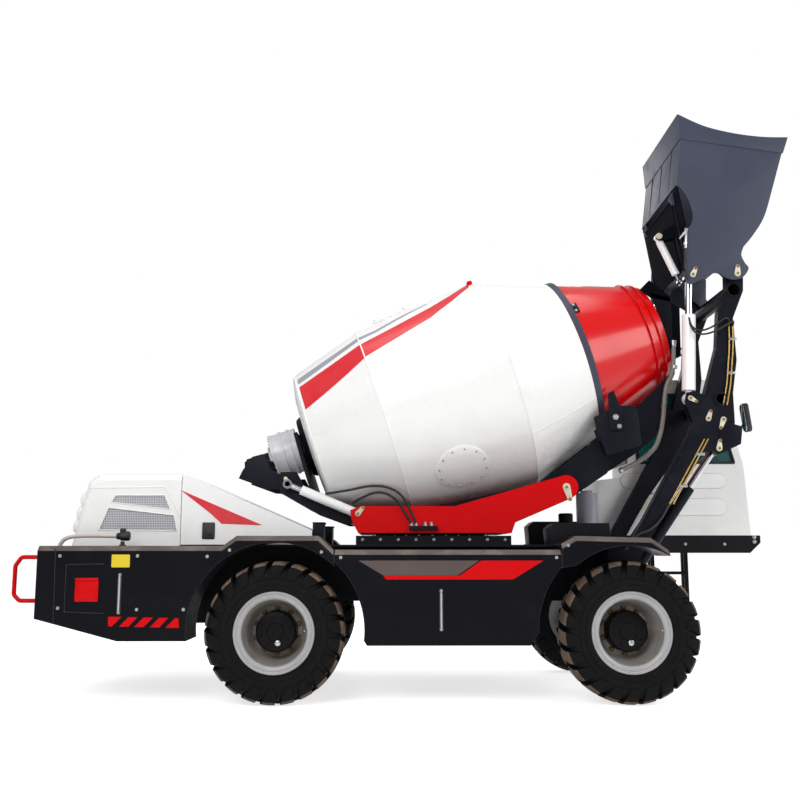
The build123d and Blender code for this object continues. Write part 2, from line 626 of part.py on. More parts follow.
# Cab
CAB_SIDE = [(1830, CAB_FLOOR), (3372, CAB_FLOOR), (3330, 2128), (3106, 2960), (3041, 3003), (2205, 3003),
            (2150, 2950), (2150, 2000), (1830, 1960)]
CAB_VOID = [(2195, CAB_FLOOR + 40), (3325, CAB_FLOOR + 40), (3285, 2120), (3066, 2935), (3026, 2958),
            (2215, 2958), (2195, 2940)]
RIGHT_PANE = [(2240, 2140), (3241, 2140), (3056, 2850), (2240, 2850)]
LEFT_PANE = [(2950, 2140), (3241, 2140), (3056, 2850), (2950, 2850)]
FRONT_CUT = [(3036, 2190), (3456, 2190), (3456, 2850), (3036, 2850)]
FRONT_PANE = [(3295, 2190), (3287, 2190), (3109, 2850), (3117, 2850)]
DOOR = (2246, 2886, 1450, 2866)
with BuildPart() as cab_shell:
    prism(CAB_SIDE, CAB_IN, CAB_OUT)
    prism(CAB_VOID, CAB_IN + CAB_WALL, CAB_OUT - CAB_WALL, mode=Mode.SUBTRACT)
    prism(RIGHT_PANE, CAB_IN - 1, CAB_IN + CAB_WALL + 1, mode=Mode.SUBTRACT)
    prism(LEFT_PANE, CAB_OUT - CAB_WALL - 1, CAB_OUT + 1, mode=Mode.SUBTRACT)
    prism(FRONT_CUT, CAB_IN + 55, CAB_OUT - 55, mode=Mode.SUBTRACT)
    block(2145, 2200, CAB_IN + 75, CAB_OUT - 75, 2150, 2830, mode=Mode.SUBTRACT)
    block(DOOR[0] - 6, DOOR[1] + 5, CAB_OUT - CAB_WALL - 1, CAB_OUT + 1, DOOR[2] - 5, DOOR[3] + 5,
          mode=Mode.SUBTRACT)
    for z in (1650, 2600):
        round_z(DOOR_PIN[0], DOOR_PIN[1], z - 36, z + 36, 19, mode=Mode.SUBTRACT)
        round_z(DOOR_PIN[0] - 2, DOOR_PIN[1], z - 66, z - 36, 14)
        round_z(DOOR_PIN[0] - 2, DOOR_PIN[1], z + 36, z + 66, 14)
        round_z(DOOR_PIN[0], DOOR_PIN[1], z - 40, z + 40, 6)
save(cab_shell, "cab_shell")

with BuildPart() as cab_glass:
    prism(RIGHT_PANE, CAB_IN + 15, CAB_IN + 23)
    prism(LEFT_PANE, CAB_OUT - 23, CAB_OUT - 15)
    prism(FRONT_PANE, CAB_IN + 55, CAB_OUT - 55)
    block(2165, 2173, CAB_IN + 75, CAB_OUT - 75, 2150, 2830)
save(cab_glass, "cab_glass")

with BuildPart() as cab_door:
    block(DOOR[0], DOOR[1], CAB_OUT - CAB_WALL, CAB_OUT, DOOR[2], DOOR[3])
    block(DOOR[0] + 70, DOOR[1] - 70, CAB_OUT - 60, CAB_OUT + 5, 2120, DOOR[3] - 70, mode=Mode.SUBTRACT)
    for z in (1650, 2600):
        round_z(DOOR_PIN[0] - 2, DOOR_PIN[1], z - 72, z + 72, 21, mode=Mode.SUBTRACT)
        block(DOOR[0] - 2, DOOR[0] + 22, CAB_OUT - 30, CAB_OUT - 8, z - 31, z + 31)
        round_z(DOOR_PIN[0], DOOR_PIN[1], z - 31, z + 31, 13)
        round_z(DOOR_PIN[0], DOOR_PIN[1], z - 32, z + 32, 6 + FIT, mode=Mode.SUBTRACT)
save(cab_door, "cab_door")

with BuildPart() as door_glass:
    block(DOOR[0] + 70, DOOR[1] - 70, CAB_OUT - 26, CAB_OUT - 18, 2120, DOOR[3] - 70)
save(door_glass, "door_glass")

with BuildPart() as cab_platform:
    prism([(1770, 1227), (3355, 1227), (3466, 1330), (3466, CAB_FLOOR), (1770, CAB_FLOOR)], CAB_IN, CAB_OUT)
    for x in (2520, 2880):
        block(x - 20, x + 20, CAB_OUT - 135, CAB_OUT - 95, 560, 1227)
        block(x - 20, x + 20, CAB_OUT - 40, CAB_OUT, 560, 1227)
    for z in (560, 780, 1000):
        block(2500, 2900, CAB_OUT - 135, CAB_OUT, z, z + 30)
save(cab_platform, "cab_platform")

with BuildPart() as cab_interior:
    block(2330, 2680, CAB_MID - SEAT_HALF, CAB_MID + SEAT_HALF, CAB_FLOOR + 40, 1760)
    block(2320, 2740, CAB_MID - SEAT_HALF - 20, CAB_MID + SEAT_HALF + 20, 1760, 1880)
    prism([(2245, 1760), (2330, 1760), (2330, 1880), (2300, 2420), (2215, 2420)],
          CAB_MID - SEAT_HALF, CAB_MID + SEAT_HALF)
    block(2960, 3160, CAB_MID - SEAT_HALF - 50, CAB_MID + SEAT_HALF + 50, CAB_FLOOR + 40, 2050)
    with Locations(Location((2900, CAB_MID, 2190), (0, -60, 0))):
        Torus(190, 17)
        Box(366, 34, 20)
        Box(34, 366, 20)
    stroke((2900, 2190), (3010, 2030), CAB_MID, -4, 190, 26)
save(cab_interior, "cab_interior")
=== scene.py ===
"""Looks of a self-loading concrete mixer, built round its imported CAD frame.

Lengths in the tables are millimetres in the CAD frame; the meshes are in metres.
"""
import math

import bmesh
import bpy
from bpy.props import FloatProperty, IntProperty, PointerProperty, StringProperty
from bpy.types import Operator, Panel, PropertyGroup
from mathutils import Matrix, Vector


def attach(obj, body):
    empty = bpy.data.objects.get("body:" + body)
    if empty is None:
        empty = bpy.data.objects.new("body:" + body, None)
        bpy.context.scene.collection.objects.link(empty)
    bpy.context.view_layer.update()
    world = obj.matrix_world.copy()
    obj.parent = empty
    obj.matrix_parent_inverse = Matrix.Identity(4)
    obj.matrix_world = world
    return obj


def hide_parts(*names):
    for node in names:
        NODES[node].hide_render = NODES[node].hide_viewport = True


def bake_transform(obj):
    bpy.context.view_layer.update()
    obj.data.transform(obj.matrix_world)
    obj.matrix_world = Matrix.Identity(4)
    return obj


bl_info = {
    "name": "Self-loading mixer looks",
    "version": (1, 0, 0),
    "blender": (4, 5, 0),
    "location": "View3D > Sidebar > Mixer",
    "description": "Dresses the packed mixer with its finishes, fittings and stage",
    "category": "Object",
}

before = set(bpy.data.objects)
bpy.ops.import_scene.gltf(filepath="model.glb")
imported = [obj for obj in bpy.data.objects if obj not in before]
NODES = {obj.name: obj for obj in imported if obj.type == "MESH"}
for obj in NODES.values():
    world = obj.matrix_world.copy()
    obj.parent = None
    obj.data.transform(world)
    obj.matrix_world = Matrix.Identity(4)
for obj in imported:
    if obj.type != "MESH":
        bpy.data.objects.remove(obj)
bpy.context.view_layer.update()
MM = 0.001
WHEELS = (("fl", 1691, 1), ("fr", 1691, -1), ("rl", -1242, 1), ("rr", -1242, -1))
DRUM_START = Vector((-1345, 0, 2159))
DRUM_DIR = Vector((math.cos(math.radians(18.25)), 0, math.sin(math.radians(18.25))))
DRUM_UP = Vector((-DRUM_DIR.z, 0, DRUM_DIR.x))
DRUM_LINE = ((357, 700), (1035, 935), (2230, 1045), (2935, 799), (3800, 500))
FINISH = {}
SIDES = ((-1, "right"), (1, "left"))


class MixerSizes(PropertyGroup):
    """Sizes a user would change."""

    lugs: IntProperty(name="Lugs", description="Tread lugs on each half of a tyre", default=22, min=8, max=40)
    weld: FloatProperty(name="Weld bead", description="Width of the drum's weld beads in millimetres",
                        default=9.0, min=2.0, max=30.0)
    line: FloatProperty(name="Steel line", description="Radius of the boom's steel lines in millimetres",
                        default=8.0, min=3.0, max=20.0)
    hose: FloatProperty(name="Hose", description="Radius of the hydraulic hoses in millimetres",
                        default=11.0, min=4.0, max=30.0)


class MixerColours(PropertyGroup):
    """Paint colours as sRGB hex codes."""

    white: StringProperty(name="White", description="Drum, hood and cab enamel", default="#F4F4F3")
    red: StringProperty(name="Red", description="Swing frame and cone enamel", default="#D2040A")
    black: StringProperty(name="Black", description="Chassis enamel", default="#15161A")
    slate: StringProperty(name="Slate", description="Bucket and boom enamel", default="#383D4E")
    floor: StringProperty(name="Floor", description="Studio floor and backdrop", default="#FFFFFF")


def sizes():
    return bpy.context.scene.mixer_sizes


def linear(code):
    """Linear RGBA from an sRGB hex code."""
    values = [int(code[i:i + 2], 16) / 255 for i in (1, 3, 5)]
    return tuple(v / 12.92 if v <= 0.04045 else ((v + 0.055) / 1.055) ** 2.4 for v in values) + (1.0,)


def add(tree, kind, settings=None, links=None):
    """Add one node, set its fields and sockets, and link its inputs."""
    node = tree.nodes.new(kind)
    for key, value in (settings or {}).items():
        if isinstance(key, str) and hasattr(node, key):
            setattr(node, key, value)
        else:
            node.inputs[key].default_value = value
    for key, source in (links or {}).items():
        tree.links.new(source, node.inputs[key])
    return node


def fresh(name):
    """New material with an output only."""
    material = bpy.data.materials.new(name)
    material.use_nodes = True
    tree = material.node_tree
    tree.nodes.clear()
    return material, tree, tree.nodes.new("ShaderNodeOutputMaterial")


def machine_enamel(name, paint, dust, bare, gloss=0.3, dusty=0.35, chipped=0.5, round_mm=5.0, coat=0.25,
                   shine=0.5):
    """Sprayed enamel on welded plate: even gloss, faint orange peel, dust, edges worn to bare steel."""
    material, tree, output = fresh(name)
    place = add(tree, "ShaderNodeTexCoord").outputs["Object"]
    face = add(tree, "ShaderNodeNewGeometry").outputs["Normal"]
    # plate edges are ground to a few millimetres, which catches the light
    eased = add(tree, "ShaderNodeBevel", {"samples": 4, "Radius": round_mm * MM}).outputs["Normal"]
    # dust lies in drifts about 300 mm across
    drift = add(tree, "ShaderNodeTexNoise", {"Scale": 1 / 0.30, "Detail": 7.0, "Roughness": 0.62},
                {"Vector": place}).outputs["Fac"]
    drift_mask = add(tree, "ShaderNodeMapRange", {"From Min": 0.48, "From Max": 0.78, "To Max": dusty},
                     {"Value": drift}).outputs["Result"]
    # chips are about 15 mm, drawn coarse enough to show
    chip = add(tree, "ShaderNodeTexNoise", {"Scale": 1 / 0.015, "Detail": 4.0},
               {"Vector": place}).outputs["Fac"]
    turn = add(tree, "ShaderNodeVectorMath", {"operation": "DOT_PRODUCT"},
               {0: eased, 1: face}).outputs["Value"]
    edge = add(tree, "ShaderNodeMapRange", {"From Min": 0.985, "From Max": 0.86, "To Max": chipped},
               {"Value": turn}).outputs["Result"]
    worn = add(tree, "ShaderNodeMath", {"operation": "MULTIPLY", "use_clamp": True},
               {0: edge, 1: chip}).outputs[0]
    film = add(tree, "ShaderNodeMix", {"data_type": "RGBA", 6: linear(paint), 7: linear(dust)},
               {0: drift_mask})
    shown = add(tree, "ShaderNodeMix", {"data_type": "RGBA", 7: linear(bare)}, {0: worn, 6: film.outputs[2]})
    rough = add(tree, "ShaderNodeMapRange",
                {"From Max": 1.0, "To Min": gloss, "To Max": min(1.0, gloss + 0.5)},
                {"Value": drift_mask}).outputs["Result"]
    # orange peel is 2 mm in life, drawn at 14 mm so that it shows
    peel = add(tree, "ShaderNodeTexNoise", {"Scale": 1 / 0.014, "Detail": 2.0},
               {"Vector": place}).outputs["Fac"]
    skin = add(tree, "ShaderNodeBump", {"Strength": 0.05, "Distance": 0.002},
               {"Height": peel, "Normal": eased})
    shader = add(tree, "ShaderNodeBsdfPrincipled",
                 {"IOR": 1.5, "Specular IOR Level": shine, "Coat Weight": coat, "Coat Roughness": 0.12},
                 {"Base Color": shown.outputs[2], "Roughness": rough, "Normal": skin.outputs["Normal"]})
    tree.links.new(shader.outputs[0], output.inputs["Surface"])
    return material


def worked_metal(name, colour, tint, rough, grain_mm, metallic=1.0):
    """Bare or plated steel: fine turning marks and a slight stain."""
    material, tree, output = fresh(name)
    place = add(tree, "ShaderNodeTexCoord").outputs["Object"]
    eased = add(tree, "ShaderNodeBevel", {"samples": 4, "Radius": 0.003}).outputs["Normal"]
    stain = add(tree, "ShaderNodeTexNoise", {"Scale": 1 / 0.06, "Detail": 5.0},
                {"Vector": place}).outputs["Fac"]
    shade = add(tree, "ShaderNodeMix", {"data_type": "RGBA", 6: linear(colour), 7: linear(tint)}, {0: stain})
    marks = add(tree, "ShaderNodeTexNoise", {"Scale": 1000 / grain_mm, "Detail": 3.0},
                {"Vector": place}).outputs["Fac"]
    finish = add(tree, "ShaderNodeMapRange", {"To Min": rough * 0.7, "To Max": rough * 1.3}, {"Value": marks})
    lift = add(tree, "ShaderNodeBump", {"Strength": 0.08, "Distance": 0.001},
               {"Height": marks, "Normal": eased})
    shader = add(tree, "ShaderNodeBsdfPrincipled", {"Metallic": metallic},
                 {"Base Color": shade.outputs[2], "Roughness": finish.outputs["Result"],
                  "Normal": lift.outputs["Normal"]})
    tree.links.new(shader.outputs[0], output.inputs["Surface"])
    return material


def moulded_rubber(name, colour, dust, rough, dusty, grain_mm, shine=0.4):
    """Vulcanised rubber: matt, finely pitted, with grey-brown dust rubbed in."""
    material, tree, output = fresh(name)
    place = add(tree, "ShaderNodeTexCoord").outputs["Object"]
    drift = add(tree, "ShaderNodeTexNoise", {"Scale": 1 / 0.11, "Detail": 8.0, "Roughness": 0.65},
                {"Vector": place}).outputs["Fac"]
    mask = add(tree, "ShaderNodeMapRange", {"From Min": 0.42, "From Max": 0.74, "To Max": dusty},
               {"Value": drift})
    shade = add(tree, "ShaderNodeMix", {"data_type": "RGBA", 6: linear(colour), 7: linear(dust)},
                {0: mask.outputs["Result"]})
    pits = add(tree, "ShaderNodeTexNoise", {"Scale": 1000 / grain_mm, "Detail": 4.0},
               {"Vector": place}).outputs["Fac"]
    lift = add(tree, "ShaderNodeBump", {"Strength": 0.25, "Distance": 0.0015}, {"Height": pits})
    finish = add(tree, "ShaderNodeMapRange", {"To Min": rough - 0.1, "To Max": min(1.0, rough + 0.1)},
                 {"Value": pits})
    shader = add(tree, "ShaderNodeBsdfPrincipled", {"IOR": 1.52, "Specular IOR Level": shine},
                 {"Base Color": shade.outputs[2], "Roughness": finish.outputs["Result"],
                  "Normal": lift.outputs["Normal"]})
    tree.links.new(shader.outputs[0], output.inputs["Surface"])
    return material


def woven_wire(name, wire, gap_shade, pitch_mm):
    """Crimped steel mesh over an opening: bright wires, with the gaps painted dark as shade from the hollow
    behind, drawn 15 mm apart to show.
    """
    material, tree, output = fresh(name)
    place = add(tree, "ShaderNodeTexCoord").outputs["Object"]
    split = add(tree, "ShaderNodeSeparateXYZ", {}, {"Vector": place})
    waves = []
    for axis in ("X", "Z"):
        along = add(tree, "ShaderNodeMath", {"operation": "MULTIPLY", 1: 2 * math.pi * 1000 / pitch_mm},
                    {0: split.outputs[axis]})
        wave = add(tree, "ShaderNodeMath", {"operation": "SINE"}, {0: along.outputs[0]})
        waves.append(wave.outputs[0])
    peak = add(tree, "ShaderNodeMath", {"operation": "MAXIMUM"}, {0: waves[0], 1: waves[1]}).outputs[0]
    mask = add(tree, "ShaderNodeMapRange", {"From Min": 0.05, "From Max": 0.55},
               {"Value": peak}).outputs["Result"]
    shade = add(tree, "ShaderNodeMix", {"data_type": "RGBA", 6: linear(gap_shade), 7: linear(wire)}, {0: mask})
    lift = add(tree, "ShaderNodeBump", {"Strength": 0.6, "Distance": 0.003}, {"Height": mask})
    shader = add(tree, "ShaderNodeBsdfPrincipled", {"Metallic": 0.3, "Roughness": 0.45},
                 {"Base Color": shade.outputs[2], "Normal": lift.outputs["Normal"]})
    tree.links.new(shader.outputs[0], output.inputs["Surface"])
    return material


def float_glass(name, tint, through):
    """Green-tinted toughened glass: smooth, dark where the cab behind is dark, with a faint film of dust."""
    material, tree, output = fresh(name)
    place = add(tree, "ShaderNodeTexCoord").outputs["Object"]
    film = add(tree, "ShaderNodeTexNoise", {"Scale": 1 / 0.2, "Detail": 6.0},
               {"Vector": place}).outputs["Fac"]
    rough = add(tree, "ShaderNodeMapRange", {"To Min": 0.02, "To Max": 0.12}, {"Value": film})
    shader = add(tree, "ShaderNodeBsdfPrincipled",
                 {"Base Color": linear(tint), "IOR": 1.5, "Transmission Weight": through},
                 {"Roughness": rough.outputs["Result"]})
    tree.links.new(shader.outputs[0], output.inputs["Surface"])
    return material


def moulded_plastic(name, colour, scuff, rough, grain_mm, through=0.0):
    """Injection-moulded plastic or vinyl: a fine grain, lighter where it is scuffed."""
    material, tree, output = fresh(name)
    place = add(tree, "ShaderNodeTexCoord").outputs["Object"]
    rub = add(tree, "ShaderNodeTexNoise", {"Scale": 1 / 0.08, "Detail": 5.0},
              {"Vector": place}).outputs["Fac"]
    mask = add(tree, "ShaderNodeMapRange", {"From Min": 0.5, "From Max": 0.8, "To Max": 0.5}, {"Value": rub})
    shade = add(tree, "ShaderNodeMix", {"data_type": "RGBA", 6: linear(colour), 7: linear(scuff)},
                {0: mask.outputs["Result"]})
    grain = add(tree, "ShaderNodeTexVoronoi", {"Scale": 1000 / grain_mm},
                {"Vector": place}).outputs["Distance"]
    lift = add(tree, "ShaderNodeBump", {"Strength": 0.15, "Distance": 0.001}, {"Height": grain})
    shader = add(tree, "ShaderNodeBsdfPrincipled",
                 {"IOR": 1.49, "Roughness": rough, "Transmission Weight": through},
                 {"Base Color": shade.outputs[2], "Normal": lift.outputs["Normal"]})
    tree.links.new(shader.outputs[0], output.inputs["Surface"])
    return material


def ribbed_hose(name, colour, dust, pitch_mm):
    """Wire-wound suction hose: grey ribs every 12 mm, drawn at that pitch."""
    material, tree, output = fresh(name)
    place = add(tree, "ShaderNodeTexCoord").outputs["Object"]
    wave = add(tree, "ShaderNodeTexWave",
               {"bands_direction": "Z", "Scale": 1000 / pitch_mm / 20, "Distortion": 0.6},
               {"Vector": place}).outputs["Fac"]
    stain = add(tree, "ShaderNodeTexNoise", {"Scale": 1 / 0.09, "Detail": 5.0},
                {"Vector": place}).outputs["Fac"]
    shade = add(tree, "ShaderNodeMix", {"data_type": "RGBA", 6: linear(colour), 7: linear(dust)}, {0: stain})
    lift = add(tree, "ShaderNodeBump", {"Strength": 0.4, "Distance": 0.002}, {"Height": wave})
    shader = add(tree, "ShaderNodeBsdfPrincipled", {"IOR": 1.5, "Roughness": 0.45},
                 {"Base Color": shade.outputs[2], "Normal": lift.outputs["Normal"]})
    tree.links.new(shader.outputs[0], output.inputs["Surface"])
    return material


def mm(point):
    """Millimetre point to metres."""
    return Vector(point) * MM


def on_drum(t, angle, lift=0.0):
    """Point on the drum's skin: t along the axis, angle in degrees up from the right side."""
    for (a, ra), (b, rb) in zip(DRUM_LINE, DRUM_LINE[1:]):
        if a <= t <= b:
            radius = ra + (rb - ra) * (t - a) / (b - a)
    turn = math.radians(angle)
    out = DRUM_UP * math.sin(turn) - Vector((0, 1, 0)) * math.cos(turn)
    return mm(DRUM_START + DRUM_DIR * t + out * (radius + lift)), out


def basis(axis):
    """Two unit vectors square to an axis."""
    axis = Vector(axis).normalized()
    side = axis.cross(Vector((0, 0, 1)) if abs(axis.z) < 0.9 else Vector((1, 0, 0))).normalized()
    return axis, side, axis.cross(side)


def prism(bm, outline, low, high):
    """Extrude an XZ outline in millimetres between two Y planes."""
    near = [bm.verts.new(mm((x, low, z))) for x, z in outline]
    far = [bm.verts.new(mm((x, high, z))) for x, z in outline]
    count = len(outline)
    bm.faces.new(near)
    bm.faces.new(list(reversed(far)))
    for i in range(count):
        bm.faces.new((near[i], far[i], far[(i + 1) % count], near[(i + 1) % count]))


def box(bm, x0, x1, y0, y1, z0, z1):
    prism(bm, ((x0, z0), (x1, z0), (x1, z1), (x0, z1)), y0, y1)


def plate(bm, outline, centre, normal, depth, up=(0, 0, 1)):
    """Flat plate on any plane: outline in the plane's own (right, up) millimetres."""
    normal = Vector(normal).normalized()
    rise = (Vector(up) - normal * Vector(up).dot(normal)).normalized()
    right = rise.cross(normal)
    base = Vector(centre)
    low = [bm.verts.new((base + right * a + rise * b) * MM) for a, b in outline]
    top = [bm.verts.new((base + right * a + rise * b + normal * depth) * MM) for a, b in outline]
    count = len(outline)
    bm.faces.new(list(reversed(low)))
    bm.faces.new(top)
    for i in range(count):
        bm.faces.new((low[i], low[(i + 1) % count], top[(i + 1) % count], top[i]))


def rounded(width, height, radius, steps=4):
    """Rounded rectangle outline about the origin."""
    points = []
    for cx, cy, start in ((1, 1, 0), (-1, 1, 90), (-1, -1, 180), (1, -1, 270)):
        for i in range(steps + 1):
            a = math.radians(start + 90 * i / steps)
            points.append((cx * (width / 2 - radius) + radius * math.cos(a),
                           cy * (height / 2 - radius) + radius * math.sin(a)))
    return points


def flowing(points, steps=6):
    """Points on a smooth curve through the given ones."""
    curve = []
    for i in range(len(points) - 1):
        around = (points[max(i - 1, 0)], points[i], points[i + 1], points[min(i + 2, len(points) - 1)])
        for k in range(steps):
            t = k / steps
            curve.append(tuple(0.5 * (2 * b + (c - a) * t + (2 * a - 5 * b + 4 * c - d) * t ** 2
                                      + (3 * b - a - 3 * c + d) * t ** 3) for a, b, c, d in zip(*around)))
    return curve


def circle(count, shift=0):
    """Cosine and sine of even steps round a circle."""
    return [(math.cos(a), math.sin(a)) for a in (2 * math.pi * (i + shift) / count for i in range(count))]


def lathe(bm, profile, centre, axis, steps=48, closed=False):
    """Turn an (along, radius) profile round an axis; a radius of 0 closes on the axis."""
    axis, side, third = basis(axis)
    rings = []
    for along, radius in profile:
        if radius <= 0:
            rings.append([bm.verts.new((Vector(centre) + axis * along) * MM)])
            continue
        rings.append([bm.verts.new((Vector(centre) + axis * along + (side * c + third * s) * radius) * MM)
                      for c, s in circle(steps)])
    pairs = list(zip(rings, rings[1:]))
    if closed:
        pairs.append((rings[-1], rings[0]))
    for first, second in pairs:
        for i in range(steps):
            j = (i + 1) % steps
            corners = [first[i % len(first)], first[j % len(first)], second[j % len(second)],
                       second[i % len(second)]]
            kept = []
            for vert in corners:
                if vert not in kept:
                    kept.append(vert)
            if len(kept) > 2:
                bm.faces.new(kept)


def bolt(bm, place, axis, radius=11, height=9, sides=6):
    """Hexagon head on a washer, standing on a face."""
    lathe(bm, ((-1, radius * 1.5), (2.5, radius * 1.5), (2.5, radius * 1.02)), place, axis, 14)
    lathe(bm, ((2, radius), (height - 2, radius), (height, radius * 0.8), (height, 0)), place, axis, sides)


def bar(bm, start, end, radius, sides=12):
    """Round bar between two points."""
    reach = Vector(end) - Vector(start)
    lathe(bm, ((0, 0), (0, radius), (reach.length, radius), (reach.length, 0)), start, reach, sides)


def ease(bm, width, angle=32):
    """Round the sharp edges of a mesh."""
    bm.normal_update()
    sharp = [e for e in bm.edges if len(e.link_faces) == 2 and e.calc_face_angle() > math.radians(angle)]
    if sharp:
        bmesh.ops.bevel(bm, geom=sharp, offset=width * MM, segments=2, profile=0.6, affect="EDGES",
                        clamp_overlap=True)


def piece(name, bm, material, body, slot, bevel=0.0, sharp=38):
    """Turn a mesh in progress into a piece that rides on a body."""
    bmesh.ops.recalc_face_normals(bm, faces=bm.faces[:])
    if bevel:
        ease(bm, bevel)
    for face in bm.faces:
        face.smooth = True
    mesh = bpy.data.meshes.new(name)
    bm.to_mesh(mesh)
    bm.free()
    mesh.set_sharp_from_angle(angle=math.radians(sharp))
    mesh.materials.append(FINISH[material])
    made = bpy.data.objects.new(name, mesh)
    bpy.context.scene.collection.objects.link(made)
    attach(made, body)
    return made


def build(name, material, body, slot, *shapes, bevel=0.0, sharp=38):
    """Piece made of shapes, each a function of this file and its values."""
    bm = bmesh.new()
    for shape, *values in shapes:
        shape(bm, *values)
    return piece(name, bm, material, body, slot, bevel, sharp)


def pipe(name, route, radius, material, body):
    """Smooth tube along control points in millimetres; with no body it is left unparented."""
    curve = bpy.data.curves.new(name, "CURVE")
    curve.dimensions = "3D"
    spline = curve.splines.new("NURBS")
    spline.points.add(len(route) - 1)
    for point, place in zip(spline.points, route):
        point.co = (*mm(place), 1.0)
    spline.order_u = 3
    spline.use_endpoint_u = True
    spline.resolution_u = 8
    curve.bevel_depth = radius * MM
    curve.bevel_resolution = 3
    curve.use_fill_caps = True
    made = bpy.data.objects.new(name + "_line", curve)
    mesh = bpy.data.meshes.new_from_object(made)
    bpy.data.objects.remove(made)
    bpy.data.curves.remove(curve)
    mesh.name = name
    mesh.shade_smooth()
    mesh.materials.clear()
    mesh.materials.append(FINISH[material])
    tube = bpy.data.objects.new(name, mesh)
    bpy.context.scene.collection.objects.link(tube)
    if body:
        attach(tube, body)
    return tube


# finishes by recipe: name, colour (a hex code or a colour of the panel), then the recipe's other values
RECIPES = (
    (machine_enamel, {
        "white": ("White machine enamel", "white", "#D9D4CC", "#B9B4AC", 0.28, 0.30, 0.25),
        "drum": ("White drum enamel", "white", "#DDD8D2", "#C8C2BA", 0.24, 0.35, 0.2),
        "red": ("Red machine enamel", "red", "#A81A18", "#6A1410", 0.3, 0.2, 0.5, 5.0, 0.0, 0.12),
        "cone": ("Glossy red cone enamel", "red", "#9C1C18", "#6A1410", 0.22, 0.2, 0.5, 5.0, 0.3, 0.3),
        "decal_red": ("Red vinyl film", "#D81624", "#D65A60", "#B03038", 0.35, 0.25, 0.1, 0.6),
        "decal_grey": ("Grey vinyl film", "#9A9CA8", "#B4B4BA", "#808088", 0.35, 0.25, 0.1, 0.6),
        "decal_dark": ("Brown-grey vinyl film", "#4A3C38", "#5A4E48", "#3A302C", 0.4, 0.3, 0.1, 0.6),
        "black": ("Black chassis enamel", "black", "#2A2826", "#4A4A4C", 0.45, 0.30, 0.5, 5.0, 0.0, 0.1),
        "side": ("Black side-panel enamel", "#0C0D12", "#1E1D20", "#8A8684", 0.34, 0.28, 0.8, 6.0, 0.0, 0.08),
        "slate": ("Slate loader enamel", "slate", "#434859", "#6C707C", 0.5, 0.4, 0.45, 5.0, 0.0, 0.35),
        "boom": ("Dark boom enamel", "#10121A", "#262832", "#54565F", 0.42, 0.35, 0.5, 5.0, 0.0, 0.1),
        # lighter brown-grey for bevelled top edges: dust and a painted highlight
        "dusty": ("Dusty black enamel", "#5A514D", "#8C7F7A", "#3A3634", 0.6, 0.9, 0.2, 5.0, 0.0, 0.2),
        # dark dull enamel; on the bucket's lower walls its darkness is painted shade
        "gate": ("Dull gate enamel", "#0C0D14", "#1E2029", "#3C3E48", 0.85, 0.35, 0.5, 5.0, 0.0, 0.03),
        "silver": ("Silver wheel enamel", "#A9A9AB", "#8C8884", "#C8C8CA", 0.34, 0.5, 0.5),
        # the dish's dark brown drifts are dust and painted shade
        "dish": ("Dusty wheel-dish enamel", "#98948F", "#6A5A4C", "#B0AEAC", 0.42, 0.9, 0.5, 5.0, 0.0),
        "hub": ("Black hub enamel", "#040405", "#0E0E11", "#2A2A2C", 0.4, 0.3, 0.4, 4.0, 0.0, 0.12),
        # also drawn as painted shade lines round the cab's pressings
        "grey": ("Grey tank enamel", "#B4B8C4", "#A09C98", "#8C8C90", 0.3, 0.35, 0.3),
        "cast": ("White gearbox enamel", "#D2D2D6", "#96938E", "#84827E", 0.4, 0.65, 0.5),
        "cream": ("Cream keeper-plate enamel", "#D8D2BE", "#A08C62", "#8C7A50", 0.4, 0.6, 0.8, 2.0),
        "yellow": ("Yellow plate film", "#E2C410", "#CDB440", "#8C7A20", 0.4, 0.3, 0.2, 1.0),
    }),
    (worked_metal, {
        "chrome": ("Hard chrome rod", "#C9CACD", "#A9ABAF", 0.12, 6),
        "zinc": ("Zinc-plated steel", "#C4C5C6", "#96969A", 0.32, 8),
        "yellow_zinc": ("Yellow zinc-plated line", "#B39A5E", "#8A6C38", 0.32, 8),
        "rust": ("Weathered wheel nut", "#7C6238", "#4C3A26", 0.5, 9, 0.8),
        "mirror": ("Silvered mirror", "#D8DCE0", "#CCD2D6", 0.04, 30),
    }),
    (moulded_rubber, {
        "tyre": ("Vulcanised tyre rubber", "#050506", "#181514", 0.66, 0.4, 16, 0.12),
        "rubbed_tread": ("Dusty rubbed tread", "#5A4C42", "#8A7460", 0.8, 0.9, 16, 0.2),
        "hose": ("Hydraulic hose rubber", "#0E0E10", "#2A2A2C", 0.5, 0.3, 12),
        "pale_hose": ("Clear air hose", "#C9C2BE", "#A89890", 0.3, 0.5, 12),
    }),
    (ribbed_hose, {
        "water": ("Ribbed water hose", "#8C8884", "#5E564E", 12),
    }),
    (woven_wire, {
        # the grille's gap colour is painted shade
        "mesh": ("Woven wire grille", "#C8C8CE", "#66666C", 15),
    }),
    (float_glass, {
        "glass": ("Green cab glass", "#4E8C88", 0.85),
    }),
    (moulded_plastic, {
        "lens": ("Red lamp lens", "#B0141A", "#D04A48", 0.12, 14, 0.3),
        "clear": ("Clear lamp lens", "#E6E6E4", "#F2F2F0", 0.1, 14, 0.4),
        "plastic": ("Black moulded plastic", "#121214", "#2C2C30", 0.5, 6),
        "vinyl": ("Grained seat vinyl", "#1A1B1F", "#33343A", 0.55, 9),
    }),
)
